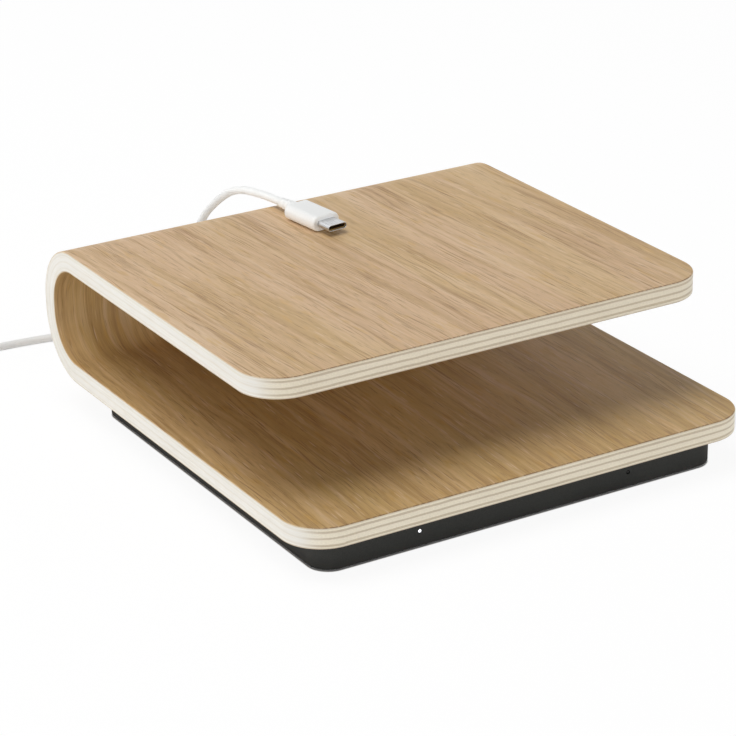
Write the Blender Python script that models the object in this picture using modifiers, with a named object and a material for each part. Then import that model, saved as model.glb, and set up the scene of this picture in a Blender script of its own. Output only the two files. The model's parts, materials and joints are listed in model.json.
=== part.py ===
# Wireless charger: a bent plywood shelf on a shallow black charging base, with its two white leads.
# Metres, +Z up. The origin lies on the table under the middle of the shell, and the open front faces -Y.

import math

import bmesh
import bpy
import numpy as np
from mathutils import Matrix, Vector

# Shell, bent from one laminated sheet
SHELL_WIDTH = 0.176
SHELL_DEPTH = 0.1875          # front edge of the lower deck to the back of the bend
DECK_GAP = 0.0345             # clear height between the decks
TOP_SET_BACK = 0.0257         # the upper deck stops this far behind the lower one
BEND_RADIUS = 0.023           # outer face, at each end of the short upright back
DECK_CORNER_RADIUS = 0.015
FACE_VENEER = 0.0006
BIRCH_CORE = 0.0061
GLUE_LINE = 0.0001
BEND_STEPS = 14               # facets in each quarter of the bend
CORNER_STEPS = 8

# Base tray under the lower deck
BASE_HEIGHT = 0.012           # table to the underside of the shell
BASE_SIDE_INSET = 0.0092
BASE_FRONT_INSET = 0.0071
BASE_REAR_INSET = 0.0249
BASE_CORNER_RADIUS = 0.008
BASE_EDGE_ROUND = 0.0012
BASE_WALL = 0.002
SEAT_GAP = 0.0003             # between pieces that rest on each other
FINE_GAP = 0.0001             # between pieces that are soldered, glued or pressed together
OVERRUN = 0.001               # how far a cut runs past the face that it opens
AXIS_MERGE = 0.00001          # points of a turned profile this near its axis are joined

# Feet, and the wood screws above them
FOOT_RADIUS = 0.007
FOOT_PROUD = 0.0005
FOOT_RECESS = 0.001
FOOT_CLEARANCE = 0.0003
FOOT_ROUND = 0.0004
FOOT_INSET = 0.0115           # foot centre from the sides of the base
CASE_SCREW_RADIUS = 0.0014
CASE_SCREW_HEAD_RADIUS = 0.0028
CASE_SCREW_HEAD_HEIGHT = 0.0016
CASE_SCREW_BITE = 0.005       # length held in the plywood
CASE_SCREW_POINT = 0.0015
CASE_SCREW_CLEARANCE = 0.0003
CASE_BOSS_WALL = 0.0016
COUNTERBORE_DEPTH = 0.0022
SCREW_RECESS_RADIUS = 0.0011
SCREW_RECESS_DEPTH = 0.0008

# Charging positions, side by side under the lower deck
COIL_PITCH = 0.0825
COIL_OUTER_RADIUS = 0.0248
COIL_INNER_RADIUS = 0.0105
COIL_THICKNESS = 0.002
COIL_ROUND = 0.0005
FERRITE_RADIUS = 0.0256
FERRITE_THICKNESS = 0.0008
POCKET_RADIUS = 0.028
POCKET_DEPTH = 0.004
PAD_RADIUS = 0.0215
PAD_THICKNESS = 0.0016
RIB_RADIUS = 0.021
RIB_WALL = 0.0015
LITZ_DIAMETER = 0.001
LITZ_ANGLE = math.radians(58)

# Main board and what is on it
BOARD_WIDTH = 0.092
BOARD_DEPTH = 0.034
BOARD_THICKNESS = 0.0012
BOARD_WALL_GAP = 0.0008
BOARD_CORNER_RADIUS = 0.0015
BOARD_SCREW_INSET = 0.0038
BOARD_SCREW_RADIUS = 0.0009
BOARD_SCREW_HEAD_RADIUS = 0.0018
BOARD_SCREW_HEAD_HEIGHT = 0.0012
BOARD_SCREW_BITE = 0.0022
BOARD_SCREW_CLEARANCE = 0.0002
BOARD_BOSS_RADIUS = 0.0026
CONTROLLER_SIZE = (0.007, 0.007, 0.0009)
DRIVER_SIZE = (0.005, 0.005, 0.0009)
CAPACITOR_SIZE = (0.0072, 0.005, 0.004)
CHIP_CHAMFER = 0.0002
DRIVER_X = 0.0145
CAPACITOR_X = 0.0335
CHIP_ROW_SHARE = 0.36         # of the board's depth, from its front edge

# Sockets in the rear wall, and the plugs that fit them
PORT_PITCH = 0.036
PORT_Z = 0.0066
SOCKET_INNER_WIDTH = 0.0086
SOCKET_INNER_HEIGHT = 0.0028
SOCKET_WALL = 0.0003
SOCKET_LENGTH = 0.0076
SOCKET_SET_BACK = 0.0003
SOCKET_CORNER_SHARE = 0.47    # of the height, so that the ends are all but half round
WINDOW_CLEARANCE = 0.0003
TONGUE_WIDTH = 0.0066
TONGUE_THICKNESS = 0.0008
TONGUE_LENGTH = 0.0046
TONGUE_BLOCK_DEPTH = 0.0012
PLUG_CLEARANCE = 0.0002       # all round, inside the socket
PLUG_WALL = 0.0003
PLUG_LENGTH = 0.0066
PLUG_STAND_OFF = 0.0004       # the grip stops short of the wall
GRIP_WIDTH = 0.0116
GRIP_HEIGHT = 0.0058
GRIP_LENGTH = 0.018
GRIP_ROUND = 0.0006
RELIEF_LENGTH = 0.009
RELIEF_START_RADIUS = 0.0025
RELIEF_END_RADIUS = 0.0019
RELIEF_GROOVES = 3
RELIEF_GROOVE_DEPTH = 0.0003

# Status lights in the front wall
LIGHT_Z = 0.006
LIGHT_TIP_RADIUS = 0.0006
LIGHT_CLEARANCE = 0.0002
LIGHT_COLLAR_RADIUS = 0.0016
LIGHT_COLLAR_DEPTH = 0.0012
LED_SIZE = (0.0016, 0.0007, 0.0016)
LED_BOARD_SIZE = (0.096, 0.001, 0.0065)
LED_POST_WIDTH = 0.004
LED_POST_THICKNESS = 0.0015
LED_POST_HEIGHT = 0.005
LED_POST_X = 0.03
RIBBON_WIDTH = 0.006
RIBBON_THICKNESS = 0.0008
RIBBON_RISE = 0.004
RIBBON_LAP = 0.004            # lies this far onto the main board

# Leads
CORD_DIAMETER = 0.003
CORD_POINT_SPACING = 0.0072
TURN_GAP = 0.0005
COIL_LAYER_STEPS = (65, 64, 65, 64)
COIL_STEPS_PER_TURN = 24
COIL_MIDDLE_RADIUS = 0.0175
COIL_CLIMB_SWING = 0.0008
TAIL_LEVEL = 0.0125
TAIL_SLOPE = 0.022
POWER_COIL_X = -0.131
DEVICE_TIP_YAW = math.radians(6.6)

# Worked out from the sizes above
SHELL_THICKNESS = 2 * FACE_VENEER + 2 * GLUE_LINE + BIRCH_CORE
UNDERSIDE_Z = BASE_HEIGHT
LOWER_TOP_Z = UNDERSIDE_Z + SHELL_THICKNESS
UPPER_UNDER_Z = LOWER_TOP_Z + DECK_GAP
SHELL_TOP_Z = UPPER_UNDER_Z + SHELL_THICKNESS
FRONT_Y = -SHELL_DEPTH / 2
BACK_Y = SHELL_DEPTH / 2
BEND_START_Y = BACK_Y - BEND_RADIUS

BASE_WIDTH = SHELL_WIDTH - 2 * BASE_SIDE_INSET
BASE_FRONT_Y = FRONT_Y + BASE_FRONT_INSET
BASE_BACK_Y = BACK_Y - BASE_REAR_INSET
BASE_MIDDLE_Y = (BASE_FRONT_Y + BASE_BACK_Y) / 2
BASE_LENGTH = BASE_BACK_Y - BASE_FRONT_Y
BASE_BOTTOM_Z = FOOT_PROUD
BASE_TOP_Z = UNDERSIDE_Z - SEAT_GAP
FLOOR_Z = BASE_BOTTOM_Z + BASE_WALL
FOOT_X = BASE_WIDTH / 2 - FOOT_INSET
FOOT_YS = {"front": BASE_FRONT_Y + FOOT_INSET, "rear": BASE_BACK_Y - FOOT_INSET}
COUNTERBORE_RADIUS = CASE_SCREW_HEAD_RADIUS + CASE_SCREW_CLEARANCE
COUNTERBORE_TOP_Z = BASE_BOTTOM_Z + FOOT_RECESS + COUNTERBORE_DEPTH
CASE_BOSS_RADIUS = COUNTERBORE_RADIUS + CASE_BOSS_WALL

COIL_XS = {"left": -COIL_PITCH / 2, "right": COIL_PITCH / 2}
COIL_BOTTOM_Z = UNDERSIDE_Z + POCKET_DEPTH - SEAT_GAP - COIL_THICKNESS
FERRITE_BOTTOM_Z = COIL_BOTTOM_Z - FINE_GAP - FERRITE_THICKNESS
PAD_BOTTOM_Z = FERRITE_BOTTOM_Z - FINE_GAP - PAD_THICKNESS
RIB_TOP_Z = PAD_BOTTOM_Z - FINE_GAP

SOCKET_OUTER_WIDTH = SOCKET_INNER_WIDTH + 2 * SOCKET_WALL
SOCKET_OUTER_HEIGHT = SOCKET_INNER_HEIGHT + 2 * SOCKET_WALL
SOCKET_MOUTH_Y = BASE_BACK_Y - SOCKET_SET_BACK
SOCKET_REAR_Y = SOCKET_MOUTH_Y - SOCKET_LENGTH
PORT_XS = {"input": -PORT_PITCH / 2, "output": PORT_PITCH / 2}
BOARD_TOP_Z = PORT_Z - SOCKET_OUTER_HEIGHT / 2 - FINE_GAP
BOARD_BOTTOM_Z = BOARD_TOP_Z - BOARD_THICKNESS
BOARD_BACK_Y = BASE_BACK_Y - BASE_WALL - BOARD_WALL_GAP
BOARD_FRONT_Y = BOARD_BACK_Y - BOARD_DEPTH
BOARD_MIDDLE_Y = (BOARD_FRONT_Y + BOARD_BACK_Y) / 2
CHIP_ROW_Y = BOARD_FRONT_Y + CHIP_ROW_SHARE * BOARD_DEPTH

FRONT_WALL_IN_Y = BASE_FRONT_Y + BASE_WALL
COLLAR_BACK_Y = FRONT_WALL_IN_Y + FINE_GAP + LIGHT_COLLAR_DEPTH
LED_FRONT_Y = COLLAR_BACK_Y + FINE_GAP
LED_BOARD_FRONT_Y = LED_FRONT_Y + LED_SIZE[1] + FINE_GAP
LED_BOARD_BACK_Y = LED_BOARD_FRONT_Y + LED_BOARD_SIZE[1]
LED_BOARD_Z = FLOOR_Z + FINE_GAP + LED_BOARD_SIZE[2] / 2

PLUG_WIDTH = SOCKET_INNER_WIDTH - 2 * PLUG_CLEARANCE
PLUG_HEIGHT = SOCKET_INNER_HEIGHT - 2 * PLUG_CLEARANCE
PLUG_FACE_Y = BASE_BACK_Y + PLUG_STAND_OFF
RELIEF_END = GRIP_LENGTH + FINE_GAP + RELIEF_LENGTH
CORD_START = RELIEF_END + SEAT_GAP        # from the grip's front face
CORD_RADIUS = CORD_DIAMETER / 2
CORD_REST_Z = CORD_RADIUS + FINE_GAP      # centre of a cord that lies on the table
GRIP_REST = GRIP_HEIGHT / 2 + FINE_GAP    # centre of a plug above what it lies on
TURN_PITCH = CORD_DIAMETER + TURN_GAP
COIL_OUTER_TURN = COIL_MIDDLE_RADIUS + TURN_PITCH * COIL_LAYER_STEPS[0] / COIL_STEPS_PER_TURN / 2

# The leads' routes, read off the photograph where it shows them. The power lead runs behind the bend
# and out to the left, and the device lead comes round behind the shell and over its back edge.
CORD_OUT_Y = PLUG_FACE_Y + CORD_START
POWER_COIL_START = (POWER_COIL_X, 0.1417, CORD_REST_Z)
POWER_ROUTE = (
    (PORT_XS["input"], CORD_OUT_Y, PORT_Z),
    (-0.0205, 0.110, 0.0040),
    (-0.0275, 0.1205, 0.0019),
    (-0.0375, 0.1290, CORD_REST_Z),
    (-0.0510, 0.1352, CORD_REST_Z),
    (-0.0669, 0.1393, CORD_REST_Z),
    (-0.0871, 0.1416, CORD_REST_Z),
    (-0.1090, 0.1420, CORD_REST_Z),
    POWER_COIL_START,
)
DEVICE_TIP_AT = (-0.0028, 0.0698, SHELL_TOP_Z + GRIP_REST)
DEVICE_ROUTE = (
    (PORT_XS["output"], CORD_OUT_Y, PORT_Z),
    (0.0205, 0.1075, 0.0042),
    (0.0270, 0.1160, 0.0019),
    (0.0345, 0.1270, CORD_REST_Z),
    (0.0335, 0.1385, CORD_REST_Z),
    (0.0255, 0.1465, CORD_REST_Z),
    (0.0150, 0.1505, 0.0022),
    (0.0060, 0.1510, 0.0070),
    (0.0005, 0.1480, 0.0160),
    (-0.0015, 0.1425, 0.0270),
    (-0.0020, 0.1347, 0.0386),
    (-0.0020, 0.1241, 0.0479),
    (-0.0020, 0.1156, 0.0537),
    (-0.0020, 0.1033, 0.0593),
    (-0.0020, 0.0876, 0.0623),
    DEVICE_TIP_AT,
)

charger = None
cutters = None


def start_scene():
    """Empty the scene, and make a collection for the pieces and one for the shapes that cut them."""
    global charger, cutters
    for old in list(bpy.data.objects):
        bpy.data.objects.remove(old, do_unlink=True)
    charger = bpy.data.collections.new("wireless_charger")
    cutters = bpy.data.collections.new("cutters")
    bpy.context.scene.collection.children.link(charger)
    bpy.context.scene.collection.children.link(cutters)
    cutters.hide_render = True


def make_material(name, color, roughness, metallic=0.0):
    material = bpy.data.materials.new(name)
    material.use_nodes = True
    shader = material.node_tree.nodes["Principled BSDF"]
    shader.inputs["Base Color"].default_value = (*color, 1.0)
    shader.inputs["Roughness"].default_value = roughness
    shader.inputs["Metallic"].default_value = metallic
    return material


def make_materials():
    return {
        "oak": make_material("oak_veneer", (0.60, 0.41, 0.25), 0.55),
        "birch": make_material("birch_edge", (0.84, 0.74, 0.58), 0.6),
        "black": make_material("black_plastic", (0.035, 0.036, 0.033), 0.5),
        "rubber": make_material("rubber", (0.05, 0.05, 0.05), 0.85),
        "steel": make_material("steel", (0.62, 0.62, 0.63), 0.3, 1.0),
        "board": make_material("circuit_board", (0.02, 0.16, 0.07), 0.5),
        "chip": make_material("chip_resin", (0.03, 0.03, 0.03), 0.6),
        "film": make_material("capacitor_film", (0.55, 0.16, 0.05), 0.45),
        "copper": make_material("copper_winding", (0.72, 0.36, 0.18), 0.35, 1.0),
        "ferrite": make_material("ferrite", (0.11, 0.11, 0.12), 0.7),
        "foam": make_material("foam", (0.16, 0.16, 0.17), 0.95),
        "guide": make_material("light_guide", (0.93, 0.95, 0.96), 0.15),
        "led": make_material("led_white", (0.95, 0.93, 0.78), 0.4),
        "ribbon": make_material("ribbon_sleeve", (0.70, 0.70, 0.72), 0.5),
        "cord": make_material("white_sleeve", (0.82, 0.83, 0.82), 0.45),
    }


def add_object(name, mesh, material, collection=None):
    obj = bpy.data.objects.new(name, mesh)
    (collection or charger).objects.link(obj)
    if material:
        mesh.materials.append(material)
        mesh.shade_smooth()
        mesh.set_sharp_from_angle(angle=math.radians(32))
    return obj


def add_cutter(name, mesh, group):
    obj = add_object(name, mesh, None, group)
    obj.hide_render = True
    obj.display_type = "WIRE"
    return obj


def cutter_group(name):
    group = bpy.data.collections.new(name)
    cutters.children.link(group)
    group.hide_render = True
    return group


def mesh_from(name, shape):
    mesh = bpy.data.meshes.new(name)
    shape.to_mesh(mesh)
    shape.free()
    return mesh


def edges_along(shape, axis):
    """The edges of a block that run along one axis."""
    found = []
    for edge in shape.edges:
        way = edge.verts[1].co - edge.verts[0].co
        if abs(way[axis]) > way.length / 2 and abs(abs(way[axis]) - way.length) < way.length / 1000:
            found.append(edge)
    return found


def block_shape(size, centre, axis=2, radius=0.0, steps=4, end_round=0.0, ends=(-1, 1)):
    """A block whose edges along one axis are rounded, and then the rims of its chosen ends."""
    shape = bmesh.new()
    bmesh.ops.create_cube(shape, size=1)
    bmesh.ops.scale(shape, vec=Vector(size), verts=shape.verts)
    if radius:
        bmesh.ops.bevel(shape, geom=edges_along(shape, axis), offset=radius, segments=steps,
                        profile=0.5, affect="EDGES")
    if end_round:
        rims = [edge for edge in shape.edges for end in ends
                if all(end * vert.co[axis] > size[axis] / 2 - FINE_GAP / 2 for vert in edge.verts)]
        bmesh.ops.bevel(shape, geom=rims, offset=end_round, segments=2, profile=0.5, affect="EDGES")
    bmesh.ops.translate(shape, vec=Vector(centre), verts=shape.verts)
    return shape


def block(name, size, centre, material, **rounding):
    return add_object(name, mesh_from(name, block_shape(size, centre, **rounding)), material)


def rod_mesh(name, radius, low, high, axis=2, sides=24):
    """A plain cylinder between two points that differ along one axis."""
    low, high = Vector(low), Vector(high)
    shape = bmesh.new()
    bmesh.ops.create_cone(shape, cap_ends=True, segments=sides, radius1=radius, radius2=radius,
                          depth=(high - low).length)
    if axis == 1:
        bmesh.ops.rotate(shape, matrix=Matrix.Rotation(math.pi / 2, 3, "X"), verts=shape.verts)
    bmesh.ops.translate(shape, vec=(low + high) / 2, verts=shape.verts)
    return mesh_from(name, shape)


def turned(name, profile, material, place=None, steps=32, ring=False):
    """A turned piece: the profile of (radius, height) pairs runs down its outer side."""
    mesh = bpy.data.meshes.new(name)
    points = [(radius, 0, height) for radius, height in profile]
    edges = [(i, i + 1) for i in range(len(points) - 1)]
    if ring:
        edges.append((len(points) - 1, 0))
    mesh.from_pydata(points, edges, [])
    obj = add_object(name, mesh, material)
    spin = obj.modifiers.new("turn", "SCREW")
    spin.axis = "Z"
    spin.steps = steps
    spin.render_steps = steps
    spin.use_merge_vertices = True
    spin.merge_threshold = AXIS_MERGE
    obj.matrix_world = place or Matrix.Identity(4)
    return obj


def boolean(obj, name, operation, other):
    """Cut or join with one object, or with every object of a collection."""
    modifier = obj.modifiers.new(name, "BOOLEAN")
    modifier.operation = operation
    modifier.solver = "EXACT"
    if isinstance(other, bpy.types.Collection):
        modifier.operand_type = "COLLECTION"
        modifier.collection = other
    else:
        modifier.object = other


def side_profile(depth):
    """Points of the C seen from its side, at a depth below its outer face: lower deck, bend, upper deck."""
    radius = BEND_RADIUS - depth
    points = [(FRONT_Y, UNDERSIDE_Z + depth)]
    for centre_z, first in ((UNDERSIDE_Z + BEND_RADIUS, -90), (SHELL_TOP_Z - BEND_RADIUS, 0)):
        for step in range(BEND_STEPS + 1):
            angle = math.radians(first + 90 * step / BEND_STEPS)
            points.append((BEND_START_Y + radius * math.cos(angle), centre_z + radius * math.sin(angle)))
    points.append((FRONT_Y + TOP_SET_BACK, SHELL_TOP_Z - depth))
    return points


def bent_sheet(name, path, width, thickness, corner_radius, material):
    """A sheet along a path of (y, z) points, centred on x = 0, thickened towards the path's left side."""
    sheet = bmesh.new()
    verts = [sheet.verts.new((-width / 2, y, z)) for y, z in path]
    edges = [sheet.edges.new(pair) for pair in zip(verts, verts[1:])]
    swept = bmesh.ops.extrude_edge_only(sheet, edges=edges)["geom"]
    moved = [item for item in swept if isinstance(item, bmesh.types.BMVert)]
    bmesh.ops.translate(sheet, vec=(width, 0, 0), verts=moved)
    sheet.normal_update()
    start, second = Vector((0, *path[0])), Vector((0, *path[1]))
    first = min(sheet.faces, key=lambda face: (face.calc_center_median() - start).length)
    if first.normal.dot((second - start).cross(Vector((1, 0, 0)))) < 0:
        bmesh.ops.reverse_faces(sheet, faces=sheet.faces)
    if corner_radius:
        ends = {path[0], path[-1]}
        corners = [vert for vert in sheet.verts
                   if any(math.dist(vert.co[1:], end) < FINE_GAP / 2 for end in ends)]
        bmesh.ops.bevel(sheet, geom=corners, offset=corner_radius, segments=CORNER_STEPS,
                        profile=0.5, affect="VERTICES")
    obj = add_object(name, mesh_from(name, sheet), material)
    wall = obj.modifiers.new("thickness", "SOLIDIFY")
    wall.thickness = thickness
    wall.offset = -1
    wall.use_even_offset = True
    return obj


def make_shell(finish):
    """Three glued layers. Coil pockets and screw pilots are cut into the lower deck from below."""
    cuts = cutter_group("shell_cuts")
    ceiling = UNDERSIDE_Z + POCKET_DEPTH
    for side, x in COIL_XS.items():
        mesh = rod_mesh("pocket_" + side, POCKET_RADIUS, (x, 0, UNDERSIDE_Z - OVERRUN), (x, 0, ceiling),
                        sides=48)
        add_cutter("pocket_" + side, mesh, cuts)
    pilot_top = UNDERSIDE_Z + CASE_SCREW_BITE + CASE_SCREW_CLEARANCE
    for name, x, y in corner_places():
        mesh = rod_mesh("pilot_" + name, CASE_SCREW_RADIUS + CASE_SCREW_CLEARANCE,
                        (x, y, UNDERSIDE_Z - OVERRUN), (x, y, pilot_top), sides=16)
        add_cutter("pilot_" + name, mesh, cuts)

    core_depth = FACE_VENEER + GLUE_LINE
    inner_depth = core_depth + BIRCH_CORE + GLUE_LINE
    layers = (
        ("oak_veneer_outer", 0.0, FACE_VENEER, finish["oak"], cuts),
        ("birch_ply_core", core_depth, BIRCH_CORE, finish["birch"], cuts),
        ("oak_veneer_inner", inner_depth, FACE_VENEER, finish["oak"], None),
    )
    for name, depth, thickness, material, cut in layers:
        layer = bent_sheet(name, side_profile(depth), SHELL_WIDTH, thickness, DECK_CORNER_RADIUS, material)
        if cut:
            boolean(layer, "pockets_and_pilots", "DIFFERENCE", cut)


def corner_places():
    """The four corners of the base where a foot covers a screw."""
    return [(f"{end}_{side}", sign * FOOT_X, y)
            for end, y in FOOT_YS.items() for side, sign in (("left", -1), ("right", 1))]


def board_screw_places():
    across = BOARD_WIDTH / 2 - BOARD_SCREW_INSET
    rows = {"front": BOARD_FRONT_Y + BOARD_SCREW_INSET, "rear": BOARD_BACK_Y - BOARD_SCREW_INSET}
    return [(f"{end}_{side}", sign * across, y)
            for end, y in rows.items() for side, sign in (("left", -1), ("right", 1))]


def add_tray_bosses(group):
    """What stands up from the tray's floor: screw bosses, board bosses and the light board's posts."""
    sunk = FLOOR_Z - BASE_WALL / 2
    for name, x, y in corner_places():
        mesh = rod_mesh("boss_" + name, CASE_BOSS_RADIUS, (x, y, sunk), (x, y, BASE_TOP_Z))
        add_cutter("boss_" + name, mesh, group)
    boss_top = BOARD_BOTTOM_Z - FINE_GAP
    for name, x, y in board_screw_places():
        mesh = rod_mesh("stand_" + name, BOARD_BOSS_RADIUS, (x, y, sunk), (x, y, boss_top), sides=16)
        add_cutter("stand_" + name, mesh, group)
    post_top = FLOOR_Z + LED_POST_HEIGHT
    fronts = {
        "front": LED_BOARD_FRONT_Y - FINE_GAP - LED_POST_THICKNESS,
        "back": LED_BOARD_BACK_Y + FINE_GAP,
    }
    for end, low_y in fronts.items():
        for side, sign in (("left", -1), ("right", 1)):
            size = (LED_POST_WIDTH, LED_POST_THICKNESS, post_top - sunk)
            centre = (sign * LED_POST_X, low_y + LED_POST_THICKNESS / 2, (post_top + sunk) / 2)
            mesh = mesh_from("post", block_shape(size, centre))
            add_cutter(f"post_{end}_{side}", mesh, group)


def add_coil_ribs(tray):
    """A round rib under each coil, joined on as a ring."""
    sunk = FLOOR_Z - BASE_WALL / 2
    for side, x in COIL_XS.items():
        outer, inner = RIB_RADIUS, RIB_RADIUS - RIB_WALL
        profile = ((outer, RIB_TOP_Z), (outer, sunk), (inner, sunk), (inner, RIB_TOP_Z))
        ring = turned("rib_" + side, profile, None, Matrix.Translation((x, 0, 0)), steps=40, ring=True)
        charger.objects.unlink(ring)
        cutters.objects.link(ring)
        ring.hide_render = True
        ring.display_type = "WIRE"
        boolean(tray, "rib_" + side, "UNION", ring)


def add_tray_openings(group):
    """What is cut out of the tray: foot recesses, screw holes, socket windows and light holes."""
    recess_top = BASE_BOTTOM_Z + FOOT_RECESS
    for name, x, y in corner_places():
        holes = (
            ("foot", FOOT_RADIUS + FOOT_CLEARANCE, BASE_BOTTOM_Z - OVERRUN, recess_top, 32),
            ("head", COUNTERBORE_RADIUS, BASE_BOTTOM_Z, COUNTERBORE_TOP_Z, 24),
            ("shank", CASE_SCREW_RADIUS + CASE_SCREW_CLEARANCE, BASE_BOTTOM_Z, BASE_TOP_Z + OVERRUN, 16),
        )
        for what, radius, low, high, sides in holes:
            mesh = rod_mesh(what, radius, (x, y, low), (x, y, high), sides=sides)
            add_cutter(f"{what}_{name}", mesh, group)
    for name, x, y in board_screw_places():
        bottom = BOARD_BOTTOM_Z - FINE_GAP - BOARD_SCREW_BITE - BOARD_SCREW_CLEARANCE
        mesh = rod_mesh("thread", BOARD_SCREW_RADIUS + BOARD_SCREW_CLEARANCE, (x, y, bottom),
                        (x, y, BOARD_BOTTOM_Z + OVERRUN), sides=12)
        add_cutter("thread_" + name, mesh, group)
    for name, x in PORT_XS.items():
        size = (SOCKET_OUTER_WIDTH + 2 * WINDOW_CLEARANCE, BASE_WALL + 2 * OVERRUN,
                SOCKET_OUTER_HEIGHT + 2 * WINDOW_CLEARANCE)
        centre = (x, BASE_BACK_Y - BASE_WALL / 2, PORT_Z)
        mesh = mesh_from("window", block_shape(size, centre, axis=1, radius=SOCKET_CORNER_SHARE * size[2]))
        add_cutter("window_" + name, mesh, group)
    for side, x in COIL_XS.items():
        mesh = rod_mesh("light", LIGHT_TIP_RADIUS + LIGHT_CLEARANCE, (x, BASE_FRONT_Y - OVERRUN, LIGHT_Z),
                        (x, FRONT_WALL_IN_Y + OVERRUN, LIGHT_Z), axis=1, sides=16)
        add_cutter("light_" + side, mesh, group)
    # Ribs and bosses give way to the board and what stands on it, wherever the board comes to lie.
    room_bottom = BOARD_BOTTOM_Z - FINE_GAP / 2
    room_height = BASE_TOP_Z + OVERRUN - room_bottom
    room_size = (BOARD_WIDTH + 2 * SEAT_GAP, BOARD_DEPTH + 2 * SEAT_GAP, room_height)
    room = block_shape(room_size, (0, BOARD_MIDDLE_Y, room_bottom + room_height / 2))
    add_cutter("board_room", mesh_from("board_room", room), group)


def make_tray(finish):
    """The moulded base: an open tray with rounded corners and a soft lower edge."""
    height = BASE_TOP_Z - BASE_BOTTOM_Z
    centre = (0, BASE_MIDDLE_Y, BASE_BOTTOM_Z + height / 2)
    tray = block("base_tray", (BASE_WIDTH, BASE_LENGTH, height), centre, finish["black"],
                 radius=BASE_CORNER_RADIUS, steps=CORNER_STEPS, end_round=BASE_EDGE_ROUND, ends=(-1,))
    hollow_height = BASE_TOP_Z + OVERRUN - FLOOR_Z
    hollow_size = (BASE_WIDTH - 2 * BASE_WALL, BASE_LENGTH - 2 * BASE_WALL, hollow_height)
    hollow_centre = (0, BASE_MIDDLE_Y, FLOOR_Z + hollow_height / 2)
    hollow = block_shape(hollow_size, hollow_centre, radius=BASE_CORNER_RADIUS - BASE_WALL,
                         steps=CORNER_STEPS)
    boolean(tray, "hollow", "DIFFERENCE", add_cutter("hollow", mesh_from("hollow", hollow), cutters))
    bosses = cutter_group("tray_bosses")
    add_tray_bosses(bosses)
    boolean(tray, "bosses", "UNION", bosses)
    add_coil_ribs(tray)
    openings = cutter_group("tray_openings")
    add_tray_openings(openings)
    boolean(tray, "openings", "DIFFERENCE", openings)


def make_feet_and_screws(finish):
    """Rubber feet in their recesses, and above each one a wood screw up into the plywood."""
    foot_top = BASE_BOTTOM_Z + FOOT_RECESS - FINE_GAP
    foot = ((0, foot_top), (FOOT_RADIUS, foot_top), (FOOT_RADIUS, FOOT_ROUND),
            (FOOT_RADIUS - FOOT_ROUND, 0), (0, 0))
    head_top = COUNTERBORE_TOP_Z - FINE_GAP
    head_bottom = head_top - CASE_SCREW_HEAD_HEIGHT
    tip = UNDERSIDE_Z + CASE_SCREW_BITE
    screw = ((0, tip), (CASE_SCREW_RADIUS, tip - CASE_SCREW_POINT), (CASE_SCREW_RADIUS, head_top),
             (CASE_SCREW_HEAD_RADIUS, head_top), (CASE_SCREW_HEAD_RADIUS, head_bottom),
             (SCREW_RECESS_RADIUS, head_bottom), (0, head_bottom + SCREW_RECESS_DEPTH))
    for name, x, y in corner_places():
        place = Matrix.Translation((x, y, 0))
        turned("rubber_foot_" + name, foot, finish["rubber"], place, steps=32)
        turned("case_screw_" + name, screw, finish["steel"], place, steps=16)


def make_coils(finish):
    """Each charging position: the flat winding in its pocket, its shield, its pad and its pair of leads."""
    for side, x in COIL_XS.items():
        place = Matrix.Translation((x, 0, 0))
        low, high = COIL_BOTTOM_Z, COIL_BOTTOM_Z + COIL_THICKNESS
        outer, inner, soft = COIL_OUTER_RADIUS, COIL_INNER_RADIUS, COIL_ROUND
        winding = ((outer - soft, high), (outer, high - soft), (outer, low + soft), (outer - soft, low),
                   (inner + soft, low), (inner, low + soft), (inner, high - soft), (inner + soft, high))
        turned("charging_coil_" + side, winding, finish["copper"], place, steps=48, ring=True)
        discs = (
            ("ferrite_shield_", FERRITE_RADIUS, FERRITE_BOTTOM_Z, FERRITE_THICKNESS, "ferrite"),
            ("foam_pad_", PAD_RADIUS, PAD_BOTTOM_Z, PAD_THICKNESS, "foam"),
        )
        for prefix, radius, bottom, thickness, look in discs:
            disc = ((0, bottom + thickness), (radius, bottom + thickness), (radius, bottom), (0, bottom))
            turned(prefix + side, disc, finish[look], place, steps=40)
        make_coil_leads(side, x, finish)


def make_coil_leads(side, x, finish):
    """The winding's twisted pair: out of its rim, down past the shield and back onto the main board."""
    inwards = -math.copysign(1, x)
    way = Vector((inwards * math.cos(LITZ_ANGLE), math.sin(LITZ_ANGLE), 0))
    middle = Vector((x, 0, 0))
    bend = (FERRITE_RADIUS + POCKET_RADIUS) / 2
    start = middle + way * (COIL_OUTER_RADIUS + SEAT_GAP)
    start.z = COIL_BOTTOM_Z + COIL_THICKNESS / 2
    drop = middle + way * bend + Vector((0, 0, COIL_BOTTOM_Z - LITZ_DIAMETER))
    below = middle + way * bend + Vector((0, 0, FERRITE_BOTTOM_Z - 2 * LITZ_DIAMETER))
    rest = BOARD_TOP_Z + FINE_GAP + LITZ_DIAMETER / 2
    lead_in = Vector((drop.x, BOARD_FRONT_Y, rest + LITZ_DIAMETER / 2))
    landing = Vector((drop.x, BOARD_FRONT_Y + BOARD_SCREW_INSET, rest))
    end = landing + Vector((0, 2 * LITZ_DIAMETER, 0))
    points = (start, drop, below, lead_in, landing, end)
    route = smooth_route(points, way, (0, 1, 0), 2 * LITZ_DIAMETER)
    tube("coil_leads_" + side, route, LITZ_DIAMETER, 1, finish["copper"])


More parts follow.
